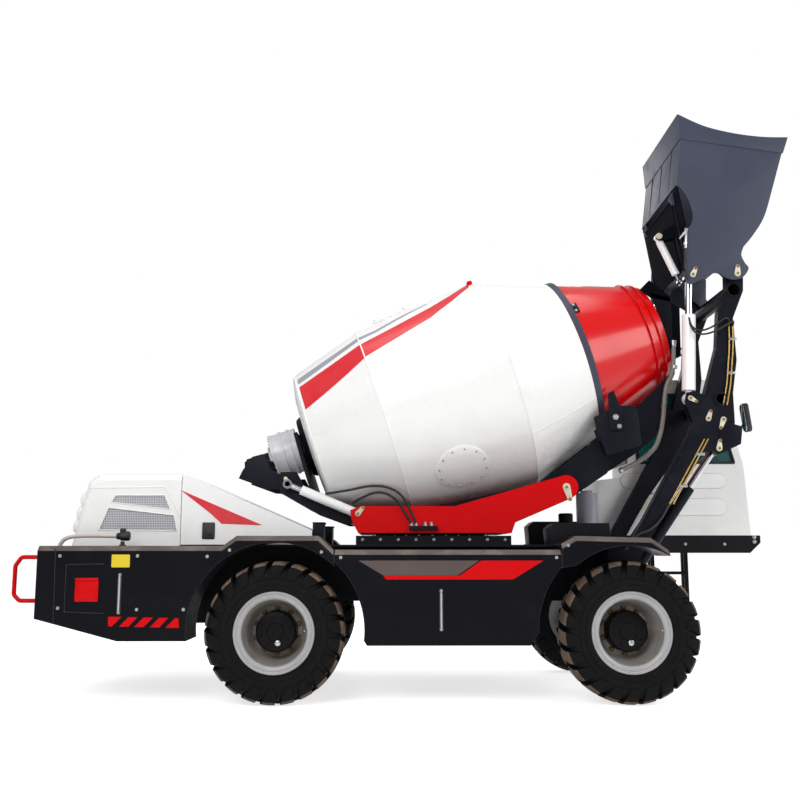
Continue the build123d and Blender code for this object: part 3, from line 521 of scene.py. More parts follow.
WORN = {
    "white": ("engine_hood", "front_cowl", "cab_shell", "cab_door", "tilt_barrels", "dump_barrels",
              "gate_barrel"),
    "drum": ("drum_shell",), "cast": ("drum_gearbox",), "red": ("swing_frame", "grab_handles"),
    "cone": ("drum_cone",), "gate": ("gate",),
    "black": ("chassis_frame", "axles", "engine_block", "rear_bumper", "slew_base", "cab_platform",
              "drum_motor", "knuckle_fl", "knuckle_fr", "knuckle_rl", "knuckle_rr"),
    "side": ("rear_side_boxes", "side_tanks", "front_fenders"),
    "boom": ("boom", "cradle_frame", "feed_hopper", "lift_barrels"),
    "slate": ("bucket", "drum_track"), "chrome": ("tilt_rods", "lift_rods", "dump_rods", "gate_rod"),
    "zinc": ("support_rollers",), "grey": ("hydraulic_tank",), "mesh": ("hood_grilles",),
    "lens": ("rear_lamps",), "glass": ("cab_glass", "door_glass"), "vinyl": ("cab_interior",),
    "water": ("water_hose",),
    "silver": ("rim_fl", "rim_fr", "rim_rl", "rim_rr"), "tyre": ("tyre_fl", "tyre_fr", "tyre_rl", "tyre_rr"),
}


class MIXER_OT_finishes(Operator):
    """Make the materials and put one on every CAD piece"""

    bl_idname = "mixer.finishes"
    bl_label = "Finishes"

    def execute(self, context):
        hue = context.scene.mixer_colours
        for recipe, table in RECIPES:
            for key, (name, colour, *values) in table.items():
                FINISH[key] = recipe(name, getattr(hue, colour, colour), *values)
        dressed = {node: finish for finish, names in WORN.items() for node in names}
        for name, node in NODES.items():
            node.data.materials.clear()
            node.data.materials.append(FINISH[dressed[name]])
        return {"FINISHED"}


WHEEL_Y = 1095
AXLE_Z = 580
TREAD = ((0, 580), (60, 579), (120, 576), (158, 567), (180, 548), (194, 516), (201, 478), (202, 446))
FLAT_ROWS = 4
CROWN_LIFT = 0.7
CARCASS = ((157, 308), (160, 330), (184, 346), (198, 388), (200, 430), (190, 474), (172, 508), (146, 532),
           (110, 545), (0, 550))
RIM_RING = ((158, 334), (166, 335), (172, 331), (173, 322), (168, 316), (163, 311), (163, 305), (168, 301),
            (168, 290), (162, 278), (148, 268), (-145, 268), (-145, 306.5), (-158, 306.5), (-158, 334),
            (-172, 334), (-172, 290), (-165, 290), (-165, 300), (-150, 306.5), (158, 306.5))
RIM_DISH = ((149, 268.5), (110, 263), (20, 252), (-60, 238), (-104, 222), (-120, 210), (-125, 198),
            (-125, 168), (-145, 168), (-145, 267), (140, 275))
HUB = ((-126, 172), (-60, 170), (0, 169), (18, 168), (30, 160), (36, 142), (36, 74), (42, 68), (42, 0))


class MIXER_OT_wheels(Operator):
    """Lugged tyres, stepped rims, hubs and nuts"""

    bl_idname = "mixer.wheels"
    bl_label = "Wheels"

    def lug(self, bm, crown, centre, side, start, half):
        """One bent lug from the middle of the tread down over the shoulder, and its rubbed crown."""
        pitch = 2 * math.pi / sizes().lugs
        sections = []
        rubbed = []

        def spot(mesh, angle, radius, across):
            place = Vector((math.cos(angle) * radius, half * across * side, math.sin(angle) * radius))
            return mesh.verts.new((centre + place) * MM)

        for i, (across, radius) in enumerate(TREAD):
            share = i / (len(TREAD) - 1)
            angle = start + half * pitch * (0.08 + 0.42 * share)
            taper = 1 - 0.22 * max(0.0, share - 0.6) / 0.4
            width = pitch * (0.33 + 0.03 * math.sin(math.pi * share)) * taper
            foot = width * 1.12
            deep, under = (min(radius - 14, 548), across) if i < FLAT_ROWS else (radius - 20, across - 38)
            sections.append([spot(bm, angle - width, radius, across), spot(bm, angle + width, radius, across),
                             spot(bm, angle + foot, deep, under), spot(bm, angle - foot, deep, under)])
            if i <= FLAT_ROWS:
                rubbed.append([spot(crown, angle + turn, radius + CROWN_LIFT, across)
                               for turn in (-width * 0.92, 0, width * 0.92)])
        for first, second in zip(rubbed, rubbed[1:]):
            for i in range(2):
                crown.faces.new((first[i], first[i + 1], second[i + 1], second[i]))
        for first, second in zip(sections, sections[1:]):
            for i in range(4):
                bm.faces.new((first[i], first[(i + 1) % 4], second[(i + 1) % 4], second[i]))
        bm.faces.new(sections[0])
        bm.faces.new(list(reversed(sections[-1])))

    def execute(self, context):
        for tag, x, side in WHEELS:
            centre = Vector((x, side * WHEEL_Y, AXLE_Z))
            axis = (0, side, 0)
            body = f"wheel_{tag}"
            on_rim = (body, f"rim_{tag}")
            bm = bmesh.new()
            crown = bmesh.new()
            for i in range(sizes().lugs):
                turn = 2 * math.pi * i / sizes().lugs
                self.lug(bm, crown, centre, side, turn, 1)
                self.lug(bm, crown, centre, side, turn + math.pi / sizes().lugs, -1)
            bmesh.ops.recalc_face_normals(bm, faces=bm.faces[:])
            piece(f"rubbed_lug_crowns_{tag}", crown, "rubbed_tread", body, f"tyre_{tag}")
            ease(bm, 5, 40)
            profile = list(CARCASS) + [(-a, r) for a, r in reversed(CARCASS[:-1])]
            lathe(bm, profile, centre, axis, 96, closed=True)
            for along, top in ((197, 201), (-197, -201)):
                for radius in (386, 436):
                    rib = ((along, radius - 5), (top, radius - 2), (top, radius + 2), (along, radius + 5))
                    lathe(bm, rib, centre, axis, 96)
            tyre = piece(f"lugged_tyre_{tag}", bm, "tyre", body, f"tyre_{tag}", sharp=42)
            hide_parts(f"tyre_{tag}")
            rim = build(f"rim_ring_{tag}", "silver", *on_rim, (lathe, RIM_RING, centre, axis, 80, True),
                        sharp=30)
            # dark brown drifts on the dish: dust and painted shade
            dish = build(f"rim_dish_{tag}", "dish", *on_rim, (lathe, RIM_DISH, centre, axis, 80, True),
                         sharp=30)
            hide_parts(f"rim_{tag}")
            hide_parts(f"rim_{tag}")
            build(f"hub_{tag}", "hub", *on_rim, (lathe, HUB, centre, axis, 48),
                  *[(bolt, centre + Vector((118 * c, side * 36, 118 * s)), axis, 8, 8)
                    for c, s in circle(8, 0.3)], sharp=30)
            build(f"wheel_nuts_{tag}", "rust", *on_rim,
                  *[(bolt, centre + Vector((190 * c, -side * 124, 190 * s)), axis, 17, 26)
                    for c, s in circle(10, 0.5)])
            plug = centre + Vector((side * -20, side * 36, -92))
            valve = (centre + Vector((262, side * 130, 20)), centre + Vector((250, side * 172, 18)))
            build(f"hub_plug_{tag}", "zinc", *on_rim,
                  (lathe, ((0, 24), (10, 24), (14, 18), (14, 0)), plug, axis, 20), (bar, *valve, 6, 10))
        return {"FINISHED"}


HOOD_FACE = 830
LATCH = (-1876, 1418)
FLASH = ((-2132, 1773), (-1405, 1465), (-1764, 1478), (-1855, 1561))
PRESSING = ((-2930, 1790), (-2262, 1800), (-2190, 1664), (-2130, 1550))
GRILLES = (((-2698, 1726), (-2268, 1726), (-2216, 1605), (-2730, 1665)),
           ((-2754, 1618), (-2183, 1553), (-2150, 1415), (-2831, 1424)))
LAMPS = ((1460, -3037, (-256, 0, 55)), (1573, -3012, (-310, 0, 75)), (1695, -2982.5, (-310, 0, 75)))


class MIXER_OT_hood(Operator):
    """Pressed lines, coloured flash, latch and tail lamps of the engine hood"""

    bl_idname = "mixer.hood"
    bl_label = "Hood"

    def strip(self, bm, route, width, low, high):
        """Raised bead along an XZ route."""
        left = []
        right = []
        for i, point in enumerate(route):
            before = Vector(route[max(i - 1, 0)])
            after = Vector(route[min(i + 1, len(route) - 1)])
            across = (after - before).normalized().orthogonal() * width / 2
            left.append(tuple(Vector(point) + across))
            right.append(tuple(Vector(point) - across))
        prism(bm, left + right[::-1], low, high)

    def execute(self, context):
        x, z = LATCH
        for side, word in SIDES:
            out = side * HOOD_FACE
            build(f"hood_pressing_{word}", "white", "hood", "engine_hood",
                  (self.strip, PRESSING, 14, out - side * 2, out + side * 3), bevel=2.5)
            build(f"cowl_flash_{word}", "decal_red", "chassis", "front_cowl",
                  (prism, FLASH, out - side * 1, out + side * 1.6))
            bm = bmesh.new()
            plate(bm, rounded(112, 146, 14), (x, out, z), (0, side, 0), 5)
            outer = [f for f in bm.faces
                     if abs(f.normal.y) > 0.9 and abs(f.calc_center_median().y) > (HOOD_FACE + 3) * MM]
            bmesh.ops.inset_region(bm, faces=outer, thickness=0.014, depth=-0.0035)
            piece(f"hood_latch_{word}", bm, "plastic", "chassis", "front_cowl", 1.5)
            build(f"latch_paddle_{word}", "plastic", "chassis", "front_cowl",
                  (box, x - 18, x + 18, out + side * 1.5, out + side * 8, z - 42, z + 8), bevel=2.5)
            # intake boxes at the cowl's front corners
            low, high = sorted((side * 540, side * 800))
            build(f"intake_box_{word}", "boom", "chassis", "front_cowl",
                  (box, -972, -878, low, high, 1300, 1484),
                  (box, -974, -868, low - 4, high + 4, 1482, 1494), bevel=4)
            # frames round the wire grilles
            build(f"grille_edge_{word}", "white", "hood", "engine_hood",
                  *[(bar, (a[0], out, a[1]), (b[0], out, b[1]), 5, 8)
                    for outline in GRILLES for a, b in zip(outline, outline[1:] + outline[:1])])
        bm = bmesh.new()
        glow = bmesh.new()
        for side in (-1, 1):
            for z, x, slope in LAMPS:
                face = (x, side * 724, z)
                lathe(bm, ((-8, 66), (16, 64), (30, 56), (36, 46), (28, 42)), face, slope, 28)
                lathe(glow, ((26, 44), (36, 38), (43, 22), (46, 0)), face, slope, 28)
        piece("lamp_bezels", bm, "white", "hood", "engine_hood")
        lamps = piece("tail_lamp_lenses", glow, "lens", "hood", "rear_lamps")
        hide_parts("rear_lamps")
        return {"FINISHED"}


SIDE_FACE = 1290
HAZARD = (((-2587, 714), (-2477, 714), (-2551, 637), (-2584, 637)),
          ((-2422, 711), (-2348, 711), (-2419, 634), (-2496, 634)),
          ((-2299, 708), (-2221, 708), (-2296, 631), (-2373, 631)),
          ((-2172, 705), (-2098, 705), (-2169, 628), (-2246, 628)),
          ((-2043, 702), (-2015, 702), (-2008, 625), (-2120, 625)))
TANK_BAND = ((-553, 1165), (440, 1165), (263, 1046), (-351, 1046))
TANK_FLASH = ((-351, 1044), (-324, 1011), (717, 1011), (973, 1165), (457, 1165), (280, 1044))
PANEL_LINES = (((-2947, 1132), (-2947, 752)), ((-2947, 752), (-2620, 740)), ((-2947, 1132), (-2640, 1138)),
               ((-3042, 1262), (-3030, 662)))
BOX_BOLTS = ((-3003, 1203), (-3000, 783), (-2368, 1203), (-2358, 771), (-1978, 771), (-1797, 1198),
             (-1615, 1250), (-859, 1235), (-700, 1190), (1080, 1190), (1180, 1290))
SIGHTS = ((-2505, 747, 1050), (126, 611, 921))
BEVEL = 40
FENDER_BEVEL = ((1128, 1300), (1245, 1366), (1760, 1353))
BEVELS = {
    word: {"rear_side_boxes": ((-3185, 1284), (-1677, 1284), (-1564, 1366), (-888, 1366), (-760, 1249)),
           "side_tanks": ((-748, 1252), (1120, 1252)), "front_fenders": fender}
    for word, fender in (("right", FENDER_BEVEL[:2] + ((1874, 1350), (2022, 1247))), ("left", FENDER_BEVEL))
}
AIR_LINE = ((-2608, -1050, 1368), (-2700, -1050, 1370), (-2880, -1046, 1372), (-3010, -1040, 1364),
            (-3080, -1034, 1330), (-3096, -1030, 1284))
BREATHER = ((((0, 30), (12, 30), (12, 18), (40, 18)), (-2560, -1050, 1284), (0, 0, 1), 20),
            (((0, 0), (0, 34), (10, 40), (70, 40), (84, 30), (110, 26), (110, 0)),
             (-2500, -1050, 1368), (-1, 0, 0), 24),
            (((0, 0), (0, 26), (26, 26), (34, 18), (34, 0)), (-2560, -1050, 1400), (0, 0, 1), 18))
CUBE = ((0, 1, 2, 3), (7, 6, 5, 4), (0, 4, 5, 1), (1, 5, 6, 2), (2, 6, 7, 3), (3, 7, 4, 0))


class MIXER_OT_sides(Operator):
    """Panels, flashes, sight tubes and bolts on the side boxes and tanks"""

    bl_idname = "mixer.sides"
    bl_label = "Side panels"

    def dust(self, bm, route, side):
        """Thin strips along a bevelled top edge, lighter for dust and a painted highlight."""
        for (x0, z0), (x1, z1) in zip(route, route[1:]):
            rim = ((x0, z0, 0), (x1, z1, 0), (x1, z1, 1), (x0, z0, 1))
            corners = [(x, side * (SIDE_FACE - into - BEVEL * inward), z - BEVEL * (1 - inward) - into)
                       for into in (1, -1.5) for x, z, inward in rim]
            spots = [bm.verts.new(mm(corner)) for corner in corners]
            for loop in CUBE:
                bm.faces.new([spots[i] for i in loop])

    def execute(self, context):
        rear = ("chassis", "rear_side_boxes")
        tank = ("chassis", "side_tanks")
        for side, word in SIDES:
            face = side * SIDE_FACE
            normal = (0, side, 0)
            inset = face - side * 1
            build(f"hazard_bars_{word}", "red", *rear,
                  *[(prism, line, inset, face + side * 1.4) for line in HAZARD])
            build(f"tank_band_{word}", "decal_dark", *tank, (prism, TANK_BAND, inset, face + side * 1.4))
            build(f"tank_flash_{word}", "red", *tank, (prism, TANK_FLASH, inset, face + side * 1.6))
            # the strips' lighter brown-grey is dust and a painted highlight
            for slot, route in BEVELS[word].items():
                build(f"dusty_bevel_{slot}_{word}", "dusty", "chassis", slot, (self.dust, route, side))
            build(f"yellow_plate_{word}", "yellow", *rear,
                  (plate, rounded(150, 104, 8), (-2504, face, 1162), normal, 2.0))
            # pull-out fuse cover: a red pressed square in a shallow pressed field
            build(f"red_cover_{word}", "red", *rear,
                  (plate, rounded(190, 192, 10), (-2771, face, 930), normal, 9),
                  (plate, rounded(160, 120, 10), (-2771, face + side * 8, 916), normal, 5),
                  (plate, rounded(190, 22, 8), (-2771, face + side * 8, 1014), normal, 11), bevel=3)
            build(f"panel_lines_{word}", "side", *rear,
                  *[(bar, (a[0], face, a[1]), (b[0], face, b[1]), 4, 8) for a, b in PANEL_LINES])
            build(f"sight_backs_{word}", "plastic", *tank,
                  *[(plate, rounded(34, high - low + 34, 15), (x, face, (low + high) / 2), normal, 2.5)
                    for x, low, high in SIGHTS], bevel=1)
            build(f"sight_tubes_{word}", "clear", *tank,
                  *[(bar, (x, face + side * 9, low + 12), (x, face + side * 9, high - 12), 8, 14)
                    for x, low, high in SIGHTS])
            build(f"panel_bolts_{word}", "zinc", *tank,
                  *[(bolt, (x, face, z), normal, 9, 7) for x, z in BOX_BOLTS],
                  *[(bolt, (x, face + side * 2, z), normal, 8, 10) for x, *ends in SIGHTS for z in ends])
        # breather valve and its air line on the right rear box
        build("breather_valve", "plastic", *rear, *[(lathe, *turned) for turned in BREATHER], bevel=2)
        pipe("air_line", AIR_LINE, 17, "pale_hose", "chassis")
        return {"FINISHED"}


SKIN_R = 990
SEAMS = ((1035, 935), (2230, 1045), (358, 700))
LONG_SEAMS = ((2240, 2925, -36.5), (1045, 2220, 168), (366, 1025, -80), (2240, 2925, 143.5), (366, 1025, 100),
              (1045, 2220, -120))
# each band: lower and upper (t, angle) routes on the drum's right side, and steps between their points
BANDS = {
    "red": ((((380, 20.2), (1030, 33.0)), ((380, 43.4), (1030, 45.5)), 8),
            (((1041, 33.6), (1342, 38.1), (1723, 43.9), (1975, 51.6), (2180, 60.0)),
             ((1041, 45.4), (1389, 49.3), (1770, 54.3), (1984, 59.0), (2190, 66.0)), 5)),
    "grey": ((((380, 47.4), (1030, 50.0)), ((380, 55.0), (1030, 53.7)), 8),
             (((1041, 50.2), (1210, 51.4), (1519, 57.5), (1760, 61.0)),
              ((1041, 53.6), (1210, 54.2), (1519, 59.4), (1760, 61.6)), 5)),
}


class MIXER_OT_drum(Operator):
    """Weld beads, coloured bands, manhole and straps on the drum"""

    bl_idname = "mixer.drum"
    bl_label = "Drum"

    def band(self, bm, lower, upper, steps=6, lift=1.8):
        """Film on the drum's skin between two (t, angle) routes of equal length."""
        rows = []
        for (t0, a0), (t1, a1) in zip(lower, upper):
            row = []
            for i in range(steps + 1):
                s = i / steps
                place, _ = on_drum(t0 + (t1 - t0) * s, a0 + (a1 - a0) * s, lift)
                row.append(bm.verts.new(place))
            rows.append(row)
        for first, second in zip(rows, rows[1:]):
            for i in range(steps):
                bm.faces.new((first[i], first[i + 1], second[i + 1], second[i]))

    def spread(self, route, parts, side):
        """Even points between each pair of a route, mirrored for the left side."""
        points = []
        for (t0, a0), (t1, a1) in zip(route, route[1:]):
            for i in range(parts):
                points.append((t0 + (t1 - t0) * i / parts, a0 + (a1 - a0) * i / parts))
        points.append(route[-1])
        return [(t, a if side < 0 else 180 - a) for t, a in points]

    def cover(self, bm, t, angle, radius):
        """Low round cover that follows the drum's skin."""
        rows = []
        crown = ((radius, -1.0), (radius, 7.0), (radius - 12, 10.0), (radius * 0.5, 10.0), (0, 10.0))
        for ring, lift in crown:
            rows.append([bm.verts.new(on_drum(t + ring * c, angle + math.degrees(ring * s / SKIN_R), lift)[0])
                         for c, s in circle(48)[:48 if ring else 1]])
        for first, second in zip(rows, rows[1:]):
            for i in range(48):
                j = (i + 1) % 48
                if len(second) == 1:
                    bm.faces.new((first[i], first[j], second[0]))
                else:
                    bm.faces.new((first[i], first[j], second[j], second[i]))

    def execute(self, context):
        shell = ("drum", "drum_shell")
        bead = sizes().weld
        bm = bmesh.new()
        section = ((-bead, -4), (-bead * 0.6, 2.5), (0, 4), (bead * 0.6, 2.5), (bead, -4))
        for t, radius in SEAMS:
            lathe(bm, [(along, radius + rise) for along, rise in section], DRUM_START + DRUM_DIR * t,
                  DRUM_DIR, 120)
        for first, last, angle in LONG_SEAMS:
            start, _ = on_drum(first, angle, 0)
            end, _ = on_drum(last, angle, 0)
            bar(bm, start / MM, end / MM, bead * 0.5, 8)
        piece("drum_welds", bm, "drum", *shell)
        for side, word in SIDES:
            for colour, films in BANDS.items():
                build(f"drum_{colour}_band_{word}", f"decal_{colour}", *shell,
                      *[(self.band, self.spread(low, parts, side), self.spread(high, parts, side))
                        for low, high, parts in films])
        # bolted manhole on the lower right, service hatch on the upper right
        bm = bmesh.new()
        nuts = bmesh.new()
        for t, angle, radius, count in ((1560, -46, 245, 12), (1400, 74, 190, 10)):
            self.cover(bm, t, angle, radius)
            ring = radius - 30
            for c, s in circle(count, 0.5):
                place, way = on_drum(t + ring * c, angle + math.degrees(ring * s / SKIN_R), 10)
                bolt(nuts, place / MM, way, 6, 6)
        piece("drum_manhole_covers", bm, "drum", *shell)
        piece("manhole_bolts", nuts, "zinc", *shell)
        bm = bmesh.new()
        for angle in (63, 243):
            spot, out = on_drum(2205, angle, -4)
            plate(bm, ((-34, 0), (34, 0), (22, 42), (-22, 42)), spot / MM, out.cross(DRUM_DIR), 18, up=out)
        piece("lifting_lugs", bm, "red", *shell, 3)
        # dark flange behind the drum's rear end
        flange = ((357, 180), (236, 180), (236, 270), (246, 282), (346, 330), (357, 326))
        build("drum_rear_flange", "boom", *shell, (lathe, flange, DRUM_START, DRUM_DIR, 64), bevel=2)
        # clamp blocks on the roller track
        bm = bmesh.new()
        heads = bmesh.new()
        for angle in (29, 149, 269):
            turn = math.radians(angle)
            out = DRUM_UP * math.sin(turn) - Vector((0, 1, 0)) * math.cos(turn)
            across = out.cross(DRUM_DIR)
            base = DRUM_START + DRUM_DIR * 3022 + out * 762
            plate(bm, rounded(64, 110, 8), base, out, 16, up=across)
            for shift in (-36, 36):
                bolt(heads, base + out * 16 + across * shift, out, 9, 6)
        piece("track_clamps", bm, "boom", "drum", "drum_track", 3)
        piece("clamp_bolts", heads, "zinc", "drum", "drum_track")
        # ribs, end cover and bolts of the reduction gearbox
        ribs = bmesh.new()
        for along, radius in ((-58, 222), (40, 226), (120, 222)):
            lathe(ribs, ((-12, radius - 10), (-12, radius), (12, radius), (12, radius - 10)),
                  DRUM_START + DRUM_DIR * along, DRUM_DIR, 48)
        lathe(ribs, ((0, 150), (0, 120), (-46, 112), (-46, 0)), DRUM_START - DRUM_DIR * 60, DRUM_DIR, 40)
        piece("gearbox_ribs", ribs, "cast", "cradle", "drum_gearbox", 2)
        _, first, second = basis(DRUM_DIR)
        build("gearbox_bolts", "zinc", "cradle", "drum_gearbox",
              *[(bolt, DRUM_START - DRUM_DIR * 70 + (first * c + second * s) * 190, -DRUM_DIR, 10, 10)
                for c, s in circle(20)])
        return {"FINISHED"}


def keeper(bm, nut, centre, normal, angle, length=92, width=52):
    """Pear-shaped keeper plate on a pin end, with its bolt."""
    normal = Vector(normal)
    turn = math.radians(angle)
    tip = Vector((math.sin(turn), 0, math.cos(turn))) * length
    outline = []
    for i in range(17):
        a = math.pi * i / 16
        outline.append((width / 2 * math.cos(a) * -1, -width / 2 * math.sin(a)))
    for i in range(9):
        a = math.pi * i / 8
        outline.append((width / 3.2 * math.cos(a), length + width / 3.2 * math.sin(a)))
    plate(bm, outline, centre, normal, 10, up=tip)
    lathe(bm, ((8, width * 0.42), (16, width * 0.40), (18, width * 0.3), (18, 0)), centre, normal, 24)
    bolt(nut, Vector(centre) + normal * 18, normal, 9, 7)
    bolt(nut, Vector(centre) + tip + normal * 10, normal, 10, 9)


def keepers(name, body, slot, rows, tail=""):
    """Cream keeper plates and their plated bolts, from rows of keeper values."""
    plates = bmesh.new()
    nuts = bmesh.new()
    for row in rows:
        keeper(plates, nuts, *row)
    piece(f"{name}_keepers{tail}", plates, "cream", body, slot, 2)
    piece(f"{name}_keeper_bolts{tail}", nuts, "yellow_zinc", body, slot)


DECK_Z = 1297
HOSE_Y = -407.3
MOTOR_BRACKET = ((-1690, 1905), (-1655, 1980), (-1570, 2105), (-1474, 2132), (-1390, 1985), (-1278, 1930),
                 (-1190, 1800), (-1440, 1815))
ROLLER_HOUSING = ((1598, 2320), (1668, 2100), (1990, 2195), (1962, 2515), (1905, 2560), (1780, 2556),
                  (1575, 2455))
HOUSING_TIP = ((1700, 2330), (1820, 2330), (1812, 2520), (1745, 2690), (1694, 2668))
WATER_ROUTE = ((2385, 3216), (2385, 2905), (2290, 2790), (2250, 2360), (2130, 2105), (1830, 1975))
APRON_WING = ((2095, 3720), (2190, 3815), (2250, 3770), (2385, 3655), (2390, 3600), (2200, 3640))
APRON_SKIRT = ((2388, 3600), (2474, 3550), (2466, 3090), (2390, 3040))


class MIXER_OT_frame_fittings(Operator):
    """Pin keepers, slew bolts, hoses and roller housings on the drum frames"""

    bl_idname = "mixer.frame_fittings"
    bl_label = "Drum frame fittings"

    def motor(self):
        """Ports, unions and hoses of the drum's hydraulic motor."""
        base = DRUM_START - DRUM_DIR * 330 - DRUM_UP * 40
        port = base + DRUM_DIR * 90
        build("motor_ports", "black", "cradle", "drum_motor",
              (lathe, ((0, 96), (-24, 90), (-34, 60), (-34, 0)), base, DRUM_DIR, 36),
              *[(bar, port + Vector((0, side * 96, 0)), port + Vector((0, side * 142, -10)), 30, 14)
                for side in (-1, 1)], bevel=2)
        build("motor_unions", "yellow_zinc", "cradle", "drum_motor",
              *[(bar, port + Vector((0, side * 140, -10)), port + Vector((0, side * 176, -18)), 22, 6)
                for side in (-1, 1)])
        for side, word in SIDES:
            start = port + Vector((0, side * 174, -18))
            route = (start, start + Vector((0, side * 60, -20)), start + Vector((60, side * 110, -90)),
                     (-1330, side * 330, 1880), (-1250, side * 400, 1800), (-1120, side * 400, 1740))
            pipe(f"motor_hose_{word}", route, 15, "hose", "cradle")

    def execute(self, context):
        swing = []
        for side in (-1, 1):
            swing.append(((1297, side * 625, 1814), (0, side, 0), 165, 110, 70))
            swing.append(((-583, side * 625, 1574), (0, side, 0), 40, 74, 50))
        keepers("swing", "swing", "swing_frame", swing)
        keepers("cradle", "cradle", "cradle_frame",
                [((-1223, side * 508, 1844), (0, -side, 0), -25, 60, 56) for side in (-1, 1)])
        build("slew_bolts", "zinc", "chassis", "slew_base",
              *[(bolt, (89 + 548 * c, 548 * s, 1380), (0, 0, 1), 11, 12) for c, s in circle(28)],
              *[(bolt, (-540 + 160 * i, side * 590, 1345), (0, side, 0), 9, 8)
                for side in (-1, 1) for i in range(9)])
        # hydraulic manifold low on the swing frame, with the tilt hoses
        build("tilt_manifolds", "black", "swing", "swing_frame",
              *[(box, -125, 133, low, high, 1428, 1466) for low, high in ((-662, -625), (625, 662))], bevel=3)
        union = ((0, 15), (14, 15), (14, 11), (34, 11), (34, 0))
        build("manifold_unions", "zinc", "swing", "swing_frame",
              *[(lathe, union, (x, y, 1466), (0, 0, 1), 6) for y in (-644, 644) for x in (-104, -62, 20, 74)])
        for side, word in SIDES:
            y = side * 648
            upper = ((-62, y, 1490), (-100, y, 1570), (-170, y, 1730), (-300, y, 1812),
                     (-470, side * 630, 1828), (-690, side * 600, 1780), (-880, side * 560, 1756))
            lower = ((-104, y, 1490), (-150, y, 1560), (-220, y, 1690), (-350, y, 1772),
                     (-500, side * 630, 1752), (-640, side * 590, 1668))
            first = pipe(f"tilt_hose_a_{word}", upper, sizes().hose, "hose", None)
            second = pipe(f"tilt_hose_b_{word}", lower, sizes().hose, "hose", None)
            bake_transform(first)
            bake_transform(second)
        # low boxes and a filter on the deck, below the sweep of the drum's frames
        bm = bmesh.new()
        for low, high, top in ((-780, -480, 1488), (480, 780, 1540)):
            prism(bm, ((1110, DECK_Z), (1095, top - 48), (1150, top), (1640, top), (1650, DECK_Z)), low, high)
        lathe(bm, ((0, 0), (0, 70), (300, 70), (312, 60), (312, 0)), (1420, 150, DECK_Z), (0, 0, 1), 32)
        piece("deck_boxes", bm, "black", "chassis", "chassis_frame", 4)
        # bracket plates beside the drum's motor
        build("motor_brackets", "boom", "cradle", "cradle_frame", (prism, MOTOR_BRACKET, -421, -397),
              (prism, MOTOR_BRACKET, 397, 421), (bar, (-1500, -410, 1960), (-1500, 410, 1960), 16, 16),
              bevel=4)
        # housings round the two drum rollers
        build("roller_housings", "boom", "cradle", "cradle_frame", (prism, ROLLER_HOUSING, -640, -560),
              (prism, HOUSING_TIP, -664, -640), (prism, ROLLER_HOUSING, 560, 640),
              (prism, HOUSING_TIP, 640, 664), bevel=4)
        build("roller_housing_bolts", "zinc", "cradle", "cradle_frame",
              *[(bolt, (x, side * 664, z), (0, side, 0), r, 12)
                for side in (-1, 1) for x, z, r in ((1755, 2448, 18), (1786, 2364, 14))])
        self.motor()
        # the water hose follows the hopper's post down to the cradle
        route = [(x, HOSE_Y, z) for x, z in WATER_ROUTE]
        hose = pipe("water_hose_run", route, 22, "water", "cradle")
        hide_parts("water_hose")
        bm = bmesh.new()
        for x, z, way in ((2385, 3180, (0, 0, 1)), (2385, 2960, (0, 0, 1)), (1850, 1984, (-1, 0, -0.43))):
            lathe(bm, ((-14, 23), (-14, 28), (14, 28), (14, 23)), (x, HOSE_Y, z), way, 24)
        lathe(bm, ((0, 23), (40, 25), (46, 30), (62, 30), (66, 24), (66, 0)), (2385, HOSE_Y, 3150),
              (0, 0, 1), 24)
        piece("hose_clips", bm, "zinc", "cradle", "water_hose")
        build("hopper_apron", "gate", "cradle", "feed_hopper", (prism, APRON_WING, -370, -358),
              (prism, APRON_WING, 358, 370), (prism, APRON_SKIRT, -365, 365), bevel=3)
        return {"FINISHED"}


BUCKET_TOP = ((2433, 5344), (2676, 5228), (2947, 5158), (3220, 5122), (3468, 5118))
BUCKET_FLOOR = ((3468, 5118), (3398, 4943), (3292, 4604), (3203, 4340), (3094, 4165), (2990, 4040))
BUCKET_HEEL = ((2990, 4040), (2967, 3965), (2994, 3892), (3028, 3841), (3003, 3785), (2958, 3740))
BUCKET_FOOT = ((2958, 3740), (2880, 3728), (2816, 3746), (2761, 3778), (2706, 3790), (2619, 3747),
               (2488, 3685), (2448, 3704))
BUCKET_NOTCH = ((2448, 3704), (2460, 3990), (2477, 4199), (2515, 4258), (2534, 4347), (2516, 4436),
                (2485, 4526), (2431, 4608), (2391, 4640))
BUCKET_BACK = ((2391, 4640), (2451, 5104))
BACK_PLATE = ((2433, 5344), (2451, 5104), (2391, 4650), (2409, 4650), (2469, 5102), (2452, 5338))
BUCKET_EAR = ((2700, 3960), (2985, 4030), (2972, 3783), (2919, 3729), (2866, 3783))
DUMP_LUG = ((2512, 3922), (2640, 3940), (2556, 3750), (2505, 3722), (2454, 3750))
GATE_EAR = ((2355, 4560), (2375, 4590), (2400, 4640), (2430, 4500), (2391, 4505))
LOWER_WALL = ((2391, 4640), (2409, 4640), (2528, 3923), (2510, 3905))
CHEEK_IN = (-690, 550)
CHEEK_OUT = (-710, 570)
UNION_Y = -722
STEEL_LINES = {
    "boom_line": ((2836, 3300), (2834, 3120), (2806, 2900), (2786, 2720), (2746, 2560)),
    "arm_line": ((2560, 2250), (2480, 2110), (2350, 1890), (2250, 1720), (2215, 1660)),
}
